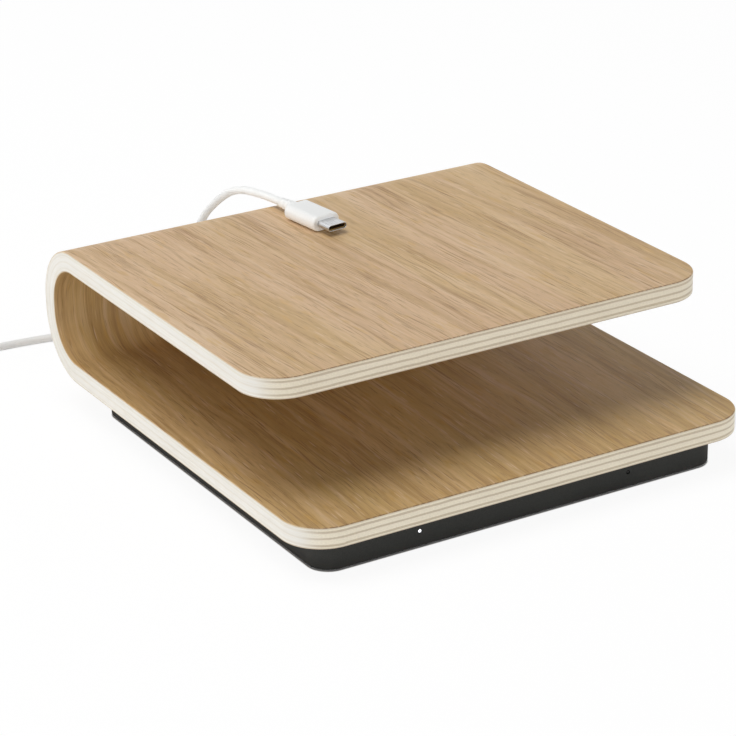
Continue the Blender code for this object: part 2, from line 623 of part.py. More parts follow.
def make_board(finish):
    """The main board on its four bosses, with the parts that are tall enough to matter."""
    size = (BOARD_WIDTH, BOARD_DEPTH, BOARD_THICKNESS)
    centre = (0, BOARD_MIDDLE_Y, BOARD_BOTTOM_Z + BOARD_THICKNESS / 2)
    board = block("main_board", size, centre, finish["board"], radius=BOARD_CORNER_RADIUS, steps=3)
    holes = cutter_group("board_holes")
    head_bottom = BOARD_TOP_Z + FINE_GAP
    head_top = head_bottom + BOARD_SCREW_HEAD_HEIGHT
    tip = BOARD_BOTTOM_Z - FINE_GAP - BOARD_SCREW_BITE
    screw = ((0, head_top), (BOARD_SCREW_HEAD_RADIUS, head_top), (BOARD_SCREW_HEAD_RADIUS, head_bottom),
             (BOARD_SCREW_RADIUS, head_bottom), (BOARD_SCREW_RADIUS, tip), (0, tip))
    for name, x, y in board_screw_places():
        mesh = rod_mesh("hole", BOARD_SCREW_RADIUS + BOARD_SCREW_CLEARANCE, (x, y, BOARD_BOTTOM_Z - OVERRUN),
                        (x, y, BOARD_TOP_Z + OVERRUN), sides=16)
        add_cutter("hole_" + name, mesh, holes)
        turned("board_screw_" + name, screw, finish["steel"], Matrix.Translation((x, y, 0)), steps=16)
    boolean(board, "screw_holes", "DIFFERENCE", holes)
    parts = (
        ("charge_controller", CONTROLLER_SIZE, 0.0, "chip"),
        ("coil_driver_left", DRIVER_SIZE, -DRIVER_X, "chip"),
        ("coil_driver_right", DRIVER_SIZE, DRIVER_X, "chip"),
        ("resonant_capacitor_left", CAPACITOR_SIZE, -CAPACITOR_X, "film"),
        ("resonant_capacitor_right", CAPACITOR_SIZE, CAPACITOR_X, "film"),
    )
    for name, size, x, look in parts:
        centre = (x, CHIP_ROW_Y, BOARD_TOP_Z + FINE_GAP + size[2] / 2)
        block(name, size, centre, finish[look], radius=CHIP_CHAMFER, steps=1)


def make_sockets(finish):
    """Two sockets on the board's rear edge: a steel shell with a contact tongue in each."""
    shell_size = (SOCKET_OUTER_WIDTH, SOCKET_LENGTH, SOCKET_OUTER_HEIGHT)
    bore_size = (SOCKET_INNER_WIDTH, SOCKET_LENGTH + 2 * OVERRUN, SOCKET_INNER_HEIGHT)
    block_size = (SOCKET_INNER_WIDTH - 2 * FINE_GAP, TONGUE_BLOCK_DEPTH, SOCKET_INNER_HEIGHT - 2 * FINE_GAP)
    tongue_depth = TONGUE_BLOCK_DEPTH / 2 + TONGUE_LENGTH
    tongue_size = (TONGUE_WIDTH, tongue_depth, TONGUE_THICKNESS)
    for name, x in PORT_XS.items():
        centre = (x, SOCKET_REAR_Y + SOCKET_LENGTH / 2, PORT_Z)
        shell = block(f"usb_{name}_socket", shell_size, centre, finish["steel"], axis=1,
                      radius=SOCKET_CORNER_SHARE * shell_size[2])
        bore = block_shape(bore_size, centre, axis=1, radius=SOCKET_CORNER_SHARE * bore_size[2])
        bore = add_cutter("socket_bore_" + name, mesh_from("socket_bore", bore), cutters)
        boolean(shell, "bore", "DIFFERENCE", bore)
        block_centre = (x, SOCKET_REAR_Y + TONGUE_BLOCK_DEPTH / 2, PORT_Z)
        tongue = block(f"usb_{name}_tongue", block_size, block_centre, finish["chip"], axis=1,
                       radius=SOCKET_CORNER_SHARE * block_size[2])
        tongue_centre = (x, block_centre[1] + tongue_depth / 2, PORT_Z)
        blade = mesh_from("blade", block_shape(tongue_size, tongue_centre))
        boolean(tongue, "blade", "UNION", add_cutter("tongue_blade_" + name, blade, cutters))


def make_lights(finish):
    """For each charging position a clear guide through the front wall, and its lamp on the board behind."""
    size = LED_BOARD_SIZE
    block("light_board", size, (0, LED_BOARD_FRONT_Y + size[1] / 2, LED_BOARD_Z), finish["board"])
    to_front = Matrix.Rotation(math.pi / 2, 4, "X")
    tip_depth = BASE_WALL + FINE_GAP
    for side, x in COIL_XS.items():
        guide = ((0, tip_depth), (LIGHT_TIP_RADIUS, tip_depth), (LIGHT_TIP_RADIUS, 0),
                 (LIGHT_COLLAR_RADIUS, 0), (LIGHT_COLLAR_RADIUS, -LIGHT_COLLAR_DEPTH),
                 (0, -LIGHT_COLLAR_DEPTH))
        place = Matrix.Translation((x, FRONT_WALL_IN_Y + FINE_GAP, LIGHT_Z)) @ to_front
        turned("light_guide_" + side, guide, finish["guide"], place, steps=16)
        centre = (x, LED_FRONT_Y + LED_SIZE[1] / 2, LIGHT_Z)
        block("status_led_" + side, LED_SIZE, centre, finish["led"], axis=1, radius=CHIP_CHAMFER, steps=1)
    make_ribbon(finish)


def make_ribbon(finish):
    """The flat cable from the light board, along the floor and up onto the main board."""
    low = FLOOR_Z + SEAT_GAP + RIBBON_THICKNESS / 2
    lap_z = BOARD_TOP_Z + FINE_GAP + RIBBON_THICKNESS / 2
    start_y = LED_BOARD_BACK_Y + FINE_GAP
    points = (
        (0, start_y, LIGHT_Z),
        (0, start_y + RIBBON_RISE / 2, LIGHT_Z),
        (0, start_y + 2 * RIBBON_RISE, low),
        (0, start_y + 3 * RIBBON_RISE, low),
        (0, BOARD_FRONT_Y - 3 * RIBBON_RISE, low),
        (0, BOARD_FRONT_Y - 2 * RIBBON_RISE, low),
        (0, BOARD_FRONT_Y - RIBBON_THICKNESS, lap_z),
        (0, BOARD_FRONT_Y + RIBBON_LAP / 2, lap_z),
        (0, BOARD_FRONT_Y + RIBBON_LAP, lap_z),
    )
    way = Vector((0, 1, 0))
    route = smooth_route(points, way, way, RIBBON_RISE)
    path = [(point[1], point[2] - RIBBON_THICKNESS / 2) for point in route]
    bent_sheet("light_ribbon_cable", path, RIBBON_WIDTH, RIBBON_THICKNESS, 0, finish["ribbon"])


def smooth_route(points, start_way, end_way, spacing):
    """A cubic spline through the points that leaves and arrives along the given directions, read evenly."""
    points = np.array([tuple(point) for point in points], float)
    steps = np.linalg.norm(np.diff(points, axis=0), axis=1)
    stations = np.concatenate([[0], np.cumsum(steps)])
    slopes = np.diff(points, axis=0) / steps[:, None]
    count = len(points)
    system = np.zeros((count, count))
    known = np.zeros((count, 3))
    system[0, :2] = 2 * steps[0], steps[0]
    known[0] = 6 * (slopes[0] - np.array(start_way))
    for i in range(1, count - 1):
        system[i, i - 1:i + 2] = steps[i - 1], 2 * (steps[i - 1] + steps[i]), steps[i]
        known[i] = 6 * (slopes[i] - slopes[i - 1])
    system[-1, -2:] = steps[-1], 2 * steps[-1]
    known[-1] = 6 * (np.array(end_way) - slopes[-1])
    bends = np.linalg.solve(system, known)

    fine = np.linspace(0, stations[-1], 40 * count)
    span = np.clip(np.searchsorted(stations, fine, side="right") - 1, 0, count - 2)
    before = (fine - stations[span])[:, None]
    after = (stations[span + 1] - fine)[:, None]
    width = steps[span][:, None]
    curve = (bends[span] * after ** 3 + bends[span + 1] * before ** 3) / (6 * width)
    curve += (points[span] / width - bends[span] * width / 6) * after
    curve += (points[span + 1] / width - bends[span + 1] * width / 6) * before
    run = np.concatenate([[0], np.cumsum(np.linalg.norm(np.diff(curve, axis=0), axis=1))])
    even = np.linspace(0, run[-1], max(2, round(run[-1] / spacing)) + 1)
    return np.stack([np.interp(even, run, curve[:, axis]) for axis in range(3)], axis=1)


def cord_route(points, start_way, end_way):
    """A cord's points: a smooth route with a short straight run, square to what it meets, at each end."""
    first, last = Vector(points[0]), Vector(points[-1])
    start = first + Vector(start_way) * CORD_DIAMETER
    end = last - Vector(end_way) * CORD_DIAMETER
    middle = smooth_route((start, *points[1:-1], end), start_way, end_way, CORD_POINT_SPACING)
    return [tuple(first), *map(tuple, middle), tuple(last)]


def tube(name, points, diameter, resolution, material):
    """A cord along the points, as a curve with a round bevel and closed ends."""
    curve = bpy.data.curves.new(name, "CURVE")
    curve.dimensions = "3D"
    curve.bevel_depth = diameter / 2
    curve.bevel_resolution = resolution
    curve.use_fill_caps = True
    spline = curve.splines.new("POLY")
    spline.points.add(len(points) - 1)
    for place, point in zip(spline.points, points):
        place.co = (*point, 1)
    curve.materials.append(material)
    obj = bpy.data.objects.new(name, curve)
    charger.objects.link(obj)
    return obj


def length_of(points):
    return float(np.linalg.norm(np.diff(np.array(points), axis=0), axis=1).sum())


def plug(names, place, finish):
    """A plug whose grip starts at the origin: the steel shell points to -Y, and the cord leaves at +Y."""
    shell_name, grip_name, relief_name = names
    shell_size = (PLUG_WIDTH, PLUG_LENGTH, PLUG_HEIGHT)
    shell_centre = (0, -FINE_GAP - PLUG_LENGTH / 2, 0)
    bore_size = (PLUG_WIDTH - 2 * PLUG_WALL, PLUG_LENGTH, PLUG_HEIGHT - 2 * PLUG_WALL)
    bore_centre = (0, shell_centre[1] - 2 * PLUG_WALL, 0)
    shell = block(shell_name, shell_size, shell_centre, finish["steel"], axis=1,
                  radius=SOCKET_CORNER_SHARE * shell_size[2])
    bore = mesh_from("plug_bore", block_shape(bore_size, bore_centre, axis=1,
                                              radius=SOCKET_CORNER_SHARE * bore_size[2]))
    hollow = add_cutter(shell_name + "_bore", bore, cutters)
    hollow.matrix_world = place
    boolean(shell, "bore", "DIFFERENCE", hollow)

    grip_size = (GRIP_WIDTH, GRIP_LENGTH, GRIP_HEIGHT)
    grip = block(grip_name, grip_size, (0, GRIP_LENGTH / 2, 0), finish["cord"], axis=1,
                 radius=SOCKET_CORNER_SHARE * GRIP_HEIGHT, end_round=GRIP_ROUND)

    start = GRIP_LENGTH + FINE_GAP
    profile = [(0, RELIEF_END)]
    for step in range(2 * RELIEF_GROOVES + 2):
        share = step / (2 * RELIEF_GROOVES + 1)
        radius = RELIEF_END_RADIUS + share * (RELIEF_START_RADIUS - RELIEF_END_RADIUS)
        cut = RELIEF_GROOVE_DEPTH * (step % 2) * (step < 2 * RELIEF_GROOVES)
        profile.append((radius - cut, RELIEF_END - share * RELIEF_LENGTH))
    profile.append((0, start))
    along = Matrix.Rotation(-math.pi / 2, 4, "X")
    turned(relief_name, profile, finish["cord"], place @ along, steps=20)
    for obj in (shell, grip):
        obj.matrix_world = place


def coil_route(steps_per_turn):
    """The length put away: four piled layers that spiral in, out, in and out, and a tail to the plug."""
    finer = steps_per_turn // COIL_STEPS_PER_TURN
    start = Vector(POWER_COIL_START) - Vector((SEAT_GAP, 0, 0))
    centre = start - Vector((CORD_DIAMETER, COIL_OUTER_TURN, 0))
    turn_step = 2 * math.pi / steps_per_turn
    radius, angle, height = COIL_OUTER_TURN, math.pi / 2, 0.0
    points = [tuple(start)]

    def place(swing=0.0):
        reach = radius + swing
        points.append((centre.x + reach * math.cos(angle), centre.y + reach * math.sin(angle),
                       centre.z + height))

    for layer, count in enumerate(COIL_LAYER_STEPS):
        inwards = -1 if layer % 2 == 0 else 1
        for _ in range(count * finer):
            place()
            angle += turn_step
            radius += inwards * TURN_PITCH / steps_per_turn
        if layer == len(COIL_LAYER_STEPS) - 1:
            break
        half_turn = steps_per_turn // 2
        for step in range(half_turn):
            share = step / half_turn
            height = (layer + share) * TURN_PITCH
            place(inwards * COIL_CLIMB_SWING * math.sin(math.pi * share))
            angle += turn_step
        height = (layer + 1) * TURN_PITCH
    place()

    leaving = Vector(points[-1])
    fall = leaving.z - GRIP_REST
    tail_steps = max(1, finer) * 4
    for step in range(1, tail_steps + 1):
        points.append((leaving.x, leaving.y - TAIL_LEVEL * step / tail_steps, leaving.z))
    for step in range(1, 2 * tail_steps + 1):
        share = step / (2 * tail_steps)
        drop = fall * share * share * (3 - 2 * share)
        points.append((leaving.x, leaving.y - TAIL_LEVEL - TAIL_SLOPE * share, leaving.z - drop))
    points.append((leaving.x, points[-1][1] - CORD_DIAMETER, GRIP_REST))
    return points


def least_gap(points, skip):
    """The least gap of a tube to itself, between points at least skip steps apart along it."""
    places = np.array(points)
    least = math.inf
    for i in range(len(places) - skip):
        away = np.linalg.norm(places[i + skip:] - places[i], axis=1)
        least = min(least, float(away.min()))
    return least - CORD_DIAMETER


def make_power_lead(finish):
    """The lead to the wall supply: plug, free stretch, the coil of its spare length, and far plug."""
    plug(("power_plug_shell", "power_plug_grip", "power_plug_relief"),
         Matrix.Translation((PORT_XS["input"], PLUG_FACE_Y, PORT_Z)), finish)
    route = cord_route(POWER_ROUTE, (0, 1, 0), (-1, 0, 0))
    tube("power_cord", route, CORD_DIAMETER, 2, finish["cord"])
    wound = coil_route(COIL_STEPS_PER_TURN)
    tube("power_cord_coil", wound, CORD_DIAMETER, 1, finish["cord"])
    fine = coil_route(10 * COIL_STEPS_PER_TURN)
    gap = least_gap(fine, 4 * COIL_STEPS_PER_TURN)
    total = length_of(route) + length_of(wound)
    print(f"power cord {total:.3f} m, coil's least gap to itself {gap * 1000:.2f} mm")
    end = Vector(wound[-1])
    place = Matrix.Translation((end.x, end.y - CORD_START, end.z))
    plug(("power_end_shell", "power_end_grip", "power_end_relief"), place, finish)


def make_device_lead(finish):
    """The short lead that comes over the back edge, with its plug lying on the upper deck."""
    plug(("device_plug_shell", "device_plug_grip", "device_plug_relief"),
         Matrix.Translation((PORT_XS["output"], PLUG_FACE_Y, PORT_Z)), finish)
    turn = Matrix.Rotation(DEVICE_TIP_YAW, 4, "Z")
    towards_tip = turn @ Vector((0, -1, 0))
    route = cord_route(DEVICE_ROUTE, (0, 1, 0), towards_tip)
    tube("device_cord", route, CORD_DIAMETER, 2, finish["cord"])
    print(f"device cord {length_of(route):.3f} m")
    face = Vector(DEVICE_TIP_AT) + towards_tip * CORD_START
    place = Matrix.Translation(face) @ turn
    plug(("device_tip_shell", "device_tip_grip", "device_tip_relief"), place, finish)


def main():
    start_scene()
    finish = make_materials()
    make_shell(finish)
    make_tray(finish)
    make_feet_and_screws(finish)
    make_coils(finish)
    make_board(finish)
    make_sockets(finish)
    make_lights(finish)
    make_power_lead(finish)
    make_device_lead(finish)


main()
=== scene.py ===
import json
import math

import bmesh
import bpy
import numpy as np
from mathutils import Matrix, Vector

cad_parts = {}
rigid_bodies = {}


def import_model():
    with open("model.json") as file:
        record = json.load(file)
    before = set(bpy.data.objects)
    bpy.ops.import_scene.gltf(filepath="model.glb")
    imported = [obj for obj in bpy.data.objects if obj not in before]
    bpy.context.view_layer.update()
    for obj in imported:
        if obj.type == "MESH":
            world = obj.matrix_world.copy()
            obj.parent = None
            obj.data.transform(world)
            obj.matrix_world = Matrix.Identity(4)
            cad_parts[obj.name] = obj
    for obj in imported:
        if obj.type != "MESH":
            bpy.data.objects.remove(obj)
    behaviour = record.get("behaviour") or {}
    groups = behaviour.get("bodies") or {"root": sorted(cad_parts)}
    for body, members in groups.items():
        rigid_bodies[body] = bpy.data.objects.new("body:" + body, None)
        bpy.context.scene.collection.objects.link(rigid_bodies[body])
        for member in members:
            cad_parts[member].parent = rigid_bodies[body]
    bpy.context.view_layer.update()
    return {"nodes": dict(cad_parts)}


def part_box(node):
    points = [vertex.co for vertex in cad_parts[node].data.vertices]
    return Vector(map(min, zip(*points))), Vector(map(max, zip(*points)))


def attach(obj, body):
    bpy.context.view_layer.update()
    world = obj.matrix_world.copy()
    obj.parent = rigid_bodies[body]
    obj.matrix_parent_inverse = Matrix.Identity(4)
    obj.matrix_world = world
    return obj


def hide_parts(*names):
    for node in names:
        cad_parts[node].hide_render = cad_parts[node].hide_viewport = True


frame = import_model()
mm = 0.001
scene = bpy.context.scene


def addObject(name, data):
    made = bpy.data.objects.new(name, data)
    scene.collection.objects.link(made)
    return made


def facing(away, place, roll=0.0):
    # A place whose third axis points away from what is faced, and whose second is as upright as it can be.
    right = np.cross((0, 0, 1), away)
    right /= np.linalg.norm(right)
    up = np.cross(away, right)
    turned = np.eye(4)
    turned[:3, 0] = right * math.cos(roll) + up * math.sin(roll)
    turned[:3, 1] = up * math.cos(roll) - right * math.sin(roll)
    turned[:3, 2], turned[:3, 3] = away, place
    return Matrix(turned.tolist())


# Camera, at the photograph's viewpoint

cameraView = {
    "azimuth": -30.54064,    # degrees round the charger, 0 looks along +Y
    "elevation": 22.93218,
    "roll": -1.01279,
    "place": (-0.474089, -0.788981, 0.412480),
    "lens": 139.027,         # mm, on a sensor 36 mm wide
    "sensor": 36.0,
    "clip": (0.05, 30.0),
}


def makeCamera(view):
    turn, lift, roll = (math.radians(view[key]) for key in ("azimuth", "elevation", "roll"))
    away = np.array([math.sin(turn) * math.cos(lift), -math.cos(turn) * math.cos(lift), math.sin(lift)])
    data = bpy.data.cameras.new("camera")
    data.sensor_width, data.lens = view["sensor"], view["lens"]
    data.clip_start, data.clip_end = view["clip"]
    eye = addObject("camera", data)
    eye.matrix_world = facing(away, view["place"], roll)
    scene.camera = eye


makeCamera(cameraView)
print("camera placed")


# Node helpers. Every value may be a number or another node's output.

def feed(tree, socket, value):
    if isinstance(value, bpy.types.NodeSocket):
        tree.links.new(value, socket)
    else:
        socket.default_value = value


def addNode(tree, kind, inputs=None, **settings):
    made = tree.nodes.new("ShaderNode" + kind)
    for key, value in settings.items():
        setattr(made, key, value)
    for key, value in (inputs or {}).items():
        feed(tree, made.inputs[key], value)
    return made


def maths(tree, operation, *values):
    return addNode(tree, "Math", dict(enumerate(values)), operation=operation).outputs[0]


def plus(tree, first, second):
    return maths(tree, "ADD", first, second)


def minus(tree, first, second):
    return maths(tree, "SUBTRACT", first, second)


def times(tree, first, *others):
    for other in others:
        first = maths(tree, "MULTIPLY", first, other)
    return first


def softStep(tree, value, low, high, out=(0.0, 1.0)):    # goes smoothly from out[0] at low to out[1] at high
    inputs = {"Value": value, "From Min": low, "From Max": high, "To Min": out[0], "To Max": out[1]}
    return addNode(tree, "MapRange", inputs, interpolation_type="SMOOTHSTEP").outputs["Result"]


def vector(tree, x, y, z=0.0):
    return addNode(tree, "CombineXYZ", {"X": x, "Y": y, "Z": z}).outputs[0]


def parts(tree, given):
    return addNode(tree, "SeparateXYZ", {"Vector": given}).outputs


def mapping(tree, given, **settings):
    return addNode(tree, "Mapping", {"Vector": given, **settings}).outputs[0]


def noise(tree, place, detail, roughness=0.5, scale=1.0):
    inputs = {"Vector": place, "Detail": detail, "Roughness": roughness, "Scale": scale}
    return addNode(tree, "TexNoise", inputs).outputs["Fac"]


def voronoi(tree, place, scale, randomness, distance="EUCLIDEAN"):
    inputs = {"Vector": place, "Scale": scale, "Randomness": randomness}
    return addNode(tree, "TexVoronoi", inputs, feature="F1", distance=distance).outputs


def objectPlace(tree):
    return addNode(tree, "TexCoord").outputs["Object"]


def uvMap(tree, name):
    return addNode(tree, "UVMap", uv_map=name).outputs["UV"]


def mixed(tree, factor, first, second, blend="MIX"):
    inputs = {0: factor, 6: first, 7: second}
    return addNode(tree, "Mix", inputs, data_type="RGBA", blend_type=blend).outputs[2]


def paint(red, green, blue):    # a colour as a picture shows it, 0 to 255, turned into light
    share = np.array([red, green, blue]) / 255
    light = np.where(share > 0.04045, ((share + 0.055) / 1.055) ** 2.4, share / 12.92)
    return (*light.tolist(), 1.0)


def ramp(tree, factor, stops):
    made = addNode(tree, "ValToRGB", {"Fac": factor})
    line = made.color_ramp
    while len(line.elements) < len(stops):
        line.elements.new(1.0)
    for element, (place, tone) in zip(line.elements, stops):
        element.position = place
        element.color = tone if isinstance(tone, tuple) else (tone, tone, tone, 1.0)
    return made.outputs["Color"]


def varied(tree, base, value, stops):    # a colour made darker and lighter along a value
    return mixed(tree, 1.0, base, ramp(tree, value, stops), "MULTIPLY")


def bump(tree, height, distance):
    return addNode(tree, "Bump", {"Height": height, "Distance": distance}).outputs["Normal"]


def setShader(tree, shader, **values):    # constants and links, each on the shader's own socket
    for key, value in values.items():
        feed(tree, shader[key.replace("_", " ")], value)


def startMaterial(name, **constants):
    material = bpy.data.materials.new(name)
    material.use_nodes = True
    tree = material.node_tree
    shader = tree.nodes["Principled BSDF"].inputs
    setShader(tree, shader, **constants)
    return material, tree, shader


# Patterns shared by the finishes, as node groups: each gives one value that changes over the surface

patterns = {
    "wanders": ((17.0, 75.0, 7.3, 1.5, 1.0),     # across and along in mm, shift of the seed, detail, and
                (5.5, 21.0, 2.9, 1.0, 0.26)),    # share of the whole wander: a slow one and a quicker one
    "streakDetail": 3.0, "streakRoughness": 0.55,
    "dashEdge": (0.12, 0.42),                    # from a dash's middle, where it starts to fade and has gone
}


def newGroup(name, output, **inputs):    # None stands for a vector
    tree = bpy.data.node_groups.new(name, "ShaderNodeTree")
    for label, start in inputs.items():
        kind = "NodeSocketVector" if start is None else "NodeSocketFloat"
        socket = tree.interface.new_socket(name=label, in_out="INPUT", socket_type=kind)
        if start is not None:
            socket.default_value = start
    tree.interface.new_socket(name=output, in_out="OUTPUT", socket_type="NodeSocketFloat")
    return tree, tree.nodes.new("NodeGroupInput").outputs, tree.nodes.new("NodeGroupOutput").inputs[output]


def useGroup(tree, name, **inputs):
    return addNode(tree, "Group", inputs, node_tree=bpy.data.node_groups[name]).outputs[0]


def inMillimetres(tree, given):
    place = parts(tree, given)
    return [times(tree, place[axis], 1 / mm) for axis in ("X", "Y")]


def stretched(tree, across, along, width, length, seed):
    return vector(tree, maths(tree, "DIVIDE", across, width), maths(tree, "DIVIDE", along, length), seed)


def makeStreakGroup():
    # Noise stretched along Y: across is divided by Width and along by Length, in mm, after sideways wanders.
    tree, given, made = newGroup(
        "grainStreaks", "Value", Vector=None, Width=1.0, Length=30.0, Wander=1.0, Seed=0.0)
    across, along = inMillimetres(tree, given["Vector"])
    wandered = across
    for width, length, shift, detail, share in patterns["wanders"]:
        place = stretched(tree, across, along, width, length, plus(tree, given["Seed"], shift))
        swing = minus(tree, noise(tree, place, detail), 0.5)
        wandered = plus(tree, wandered, times(tree, swing, share, given["Wander"]))
    place = stretched(tree, wandered, along, given["Width"], given["Length"], given["Seed"])
    tree.links.new(noise(tree, place, patterns["streakDetail"], patterns["streakRoughness"]), made)


def makePoreGroup():
    # Long thin cells, of which a share each hold one dash, darkest along its middle.
    tree, given, made = newGroup(
        "poreDashes", "Mask", Vector=None, Width=0.4, Length=6.0, Share=0.4, Seed=0.0)
    across, along = inMillimetres(tree, given["Vector"])
    cell = stretched(tree, across, along, given["Width"], given["Length"], given["Seed"])
    found = voronoi(tree, cell, 1.0, 1.0)
    drawn = addNode(tree, "SeparateColor", {"Color": found["Color"]}).outputs["Red"]
    chosen = maths(tree, "LESS_THAN", drawn, given["Share"])
    near = softStep(tree, found["Distance"], *patterns["dashEdge"], (1.0, 0.0))
    tree.links.new(times(tree, chosen, near), made)


def makeSpeckleGroup():
    # Even noise of one size, in mm, for moulded grain, foam, dust and hand wear.
    tree, given, made = newGroup("speckle", "Value", Vector=None, Size=0.3, Detail=2.0)
    scale = maths(tree, "DIVIDE", 1 / mm, given["Size"])
    tree.links.new(noise(tree, given["Vector"], given["Detail"], scale=scale), made)


def streaksFrom(tree, place, table, seed=0.0):    # a streak pattern for each row of a table
    made = {}
    for key, (width, length, wander, shift) in table.items():
        made[key] = useGroup(tree, "grainStreaks", Vector=place, Width=width, Length=length, Wander=wander,
                             Seed=seed + shift)
    return made


# Finishes

oakLooks = {
    "oakOuter": {
        "seed": 1.0,
        "pale": paint(221, 191, 151), "middle": paint(209, 176, 134), "deep": paint(190, 155, 110),
        "pink": paint(215, 181, 146), "straw": paint(205, 173, 121), "gold": paint(206, 168, 108),
    },
    # The inner oak is darker and more golden than the outer: partly its own tone, partly painted shade and
    # warm bounce, as it mostly lies between the decks
    "oakInner": {
        "seed": 5.0,
        "pale": paint(215, 183, 131), "middle": paint(200, 166, 113), "deep": paint(178, 143, 91),
        "pink": paint(204, 169, 120), "straw": paint(196, 163, 104), "gold": paint(196, 155, 86),
    },
}
oakShared = {
    "lean": 2.0, "skew": 4.0,                 # degrees from the sheet's length: the grain and its cracks
    "shift": (0.11, 0.3, 0.0),                # metres of the sheet's pattern for each step of the seed
    # glow is the pale grain's tone, and also the painted highlight of the pale dashes
    "glow": paint(226, 200, 168), "line": paint(160, 124, 84), "pore": paint(128, 94, 60),
    "rim": paint(112, 80, 50), "edge": paint(230, 218, 196),
    "streaks": {                              # width, length and wander in mm, and shift of the seed
        "broad": (9.0, 150.0, 9.0, 0.0), "hue": (24.0, 190.0, 12.0, 51.0),
        "figure": (3.1, 95.0, 9.0, 11.0), "second": (1.35, 85.0, 8.0, 17.0),
        "line": (0.46, 58.0, 7.0, 23.0), "hair": (0.24, 6.0, 4.0, 37.0),
        "calm": (9.0, 75.0, 10.0, 71.0), "spots": (3.4, 15.0, 7.0, 83.0),
    },
    "bands": ((0.36, "deep"), (0.50, "middle"), (0.64, "pale")),
    "hueShare": 0.50, "hueStep": (0.40, 0.60),
    "goldRight": 0.9,                         # how much yellower the sheet's right side is than its left
    "calmStep": (0.38, 0.58, (0.15, 1.0)),    # some parts are plainer: their lines are held back
    "layers": (                               # streak, where it starts and is full, share, tone, held back
        ("spots", 0.54, 0.70, 0.60, "gold", False),
        ("figure", 0.50, 0.64, 0.62, "deep", False),
        ("figure", 0.46, 0.33, 0.32, "glow", False),
        ("second", 0.54, 0.64, 0.50, "line", True),
        ("second", 0.44, 0.31, 0.20, "glow", False),
        ("line", 0.575, 0.635, 0.78, "line", True),
    ),
    "hairTones": ((0.30, 0.89), (0.70, 1.07)),
    "pores": (0.42, 6.5, 3.0),                # width and length in mm, and shift of the seed
    # The pale dashes after the cracks are painted highlights, like those that catch the raised edges of pores
    "cracks": (0.60, 14.0, 8.0), "highlightFlecks": (0.85, 10.0, 12.0),
    "poreCrowd": (0.42, 0.60, (0.08, 0.40)),  # share of the cells with a pore, which follows the figure
    "crackCrowd": 0.14, "highlightFleckCrowd": 0.13,
    "poreShare": 0.6, "crackShare": 0.8, "darkShare": 0.8, "highlightFleckShare": 0.55,
    "edgeStep": (0.22, 0.46),                 # of the way round the edge, from the face to the glue line
    "rimSteps": ((0.0, 0.10), (0.40, 0.22)),
    "rimFront": (0.55, 0.98, (0.05, 0.9)),    # the rim is darkest where the edge cuts across the grain
    "rimBroken": (0.38, 0.56, (0.35, 1.0)), "rimGrain": 1.1,
    "roughStep": (0.3, 0.8, (0.46, 0.62)), "hairHeight": 0.35, "poreDepth": 0.06 * mm,
}


def makeOak(name):
    # Broad bands, then streaks a few mm wide, then lines and pores, each drawn out along the grain.
    material, tree, shader = startMaterial(name, Specular_IOR_Level=0.35)
    look = {**oakShared, **oakLooks[name]}
    seed = look["seed"]
    sheet = uvMap(tree, "sheetMap")
    turns = {key: (0, 0, math.radians(look[key])) for key in ("lean", "skew")}
    lean = mapping(tree, sheet, Rotation=turns["lean"], Location=[step * seed for step in look["shift"]])
    skew = mapping(tree, sheet, Rotation=turns["skew"])
    streaks = streaksFrom(tree, lean, look["streaks"], seed)

    base = ramp(tree, streaks["broad"], [(place, look[tone]) for place, tone in look["bands"]])
    hue = minus(tree, streaks["hue"], times(tree, parts(tree, sheet)["X"], look["goldRight"]))
    hue = mixed(tree, softStep(tree, hue, *look["hueStep"]), look["straw"], look["pink"])
    base = mixed(tree, look["hueShare"], base, hue)
    calm = softStep(tree, streaks["calm"], *look["calmStep"])
    for key, low, high, share, tone, heldBack in look["layers"]:
        mask = softStep(tree, streaks[key], low, high, (0.0, share))
        base = mixed(tree, times(tree, mask, calm) if heldBack else mask, base, look[tone])
    base = varied(tree, base, streaks["hair"], look["hairTones"])

    def dashes(place, key, crowd):
        width, length, shift = look[key]
        return useGroup(tree, "poreDashes", Vector=place, Width=width, Length=length, Share=crowd,
                        Seed=seed + shift)

    pores = dashes(lean, "pores", softStep(tree, streaks["figure"], *look["poreCrowd"]))
    cracks = dashes(skew, "cracks", look["crackCrowd"])
    # Pale dashes: painted highlights, like those on the pores' relief
    highlightFlecks = dashes(skew, "highlightFlecks", look["highlightFleckCrowd"])
    dark = maths(tree, "MAXIMUM", times(tree, pores, look["poreShare"]),
                 times(tree, cracks, look["crackShare"]))
    base = mixed(tree, times(tree, dark, look["darkShare"]), base, look["pore"])
    # the pale dashes lay painted highlight over the grain
    base = mixed(tree, times(tree, highlightFlecks, look["highlightFleckShare"]), base, look["glow"])

    facts = parts(tree, uvMap(tree, "edgeFacts"))
    base = mixed(tree, softStep(tree, facts["Y"], *look["edgeStep"]), base, look["edge"])
    broken = useGroup(tree, "speckle", Vector=uvMap(tree, "edgeMap"), Size=look["rimGrain"], Detail=2.0)
    rim = times(tree, *(softStep(tree, facts["Y"], *step) for step in look["rimSteps"]),
                softStep(tree, facts["X"], *look["rimFront"]), softStep(tree, broken, *look["rimBroken"]))
    height = minus(tree, times(tree, streaks["hair"], look["hairHeight"]), dark)
    setShader(tree, shader, Base_Color=mixed(tree, rim, base, look["rim"]),
              Roughness=softStep(tree, streaks["line"], *look["roughStep"]),
              Normal=bump(tree, height, look["poreDepth"]))
    return material


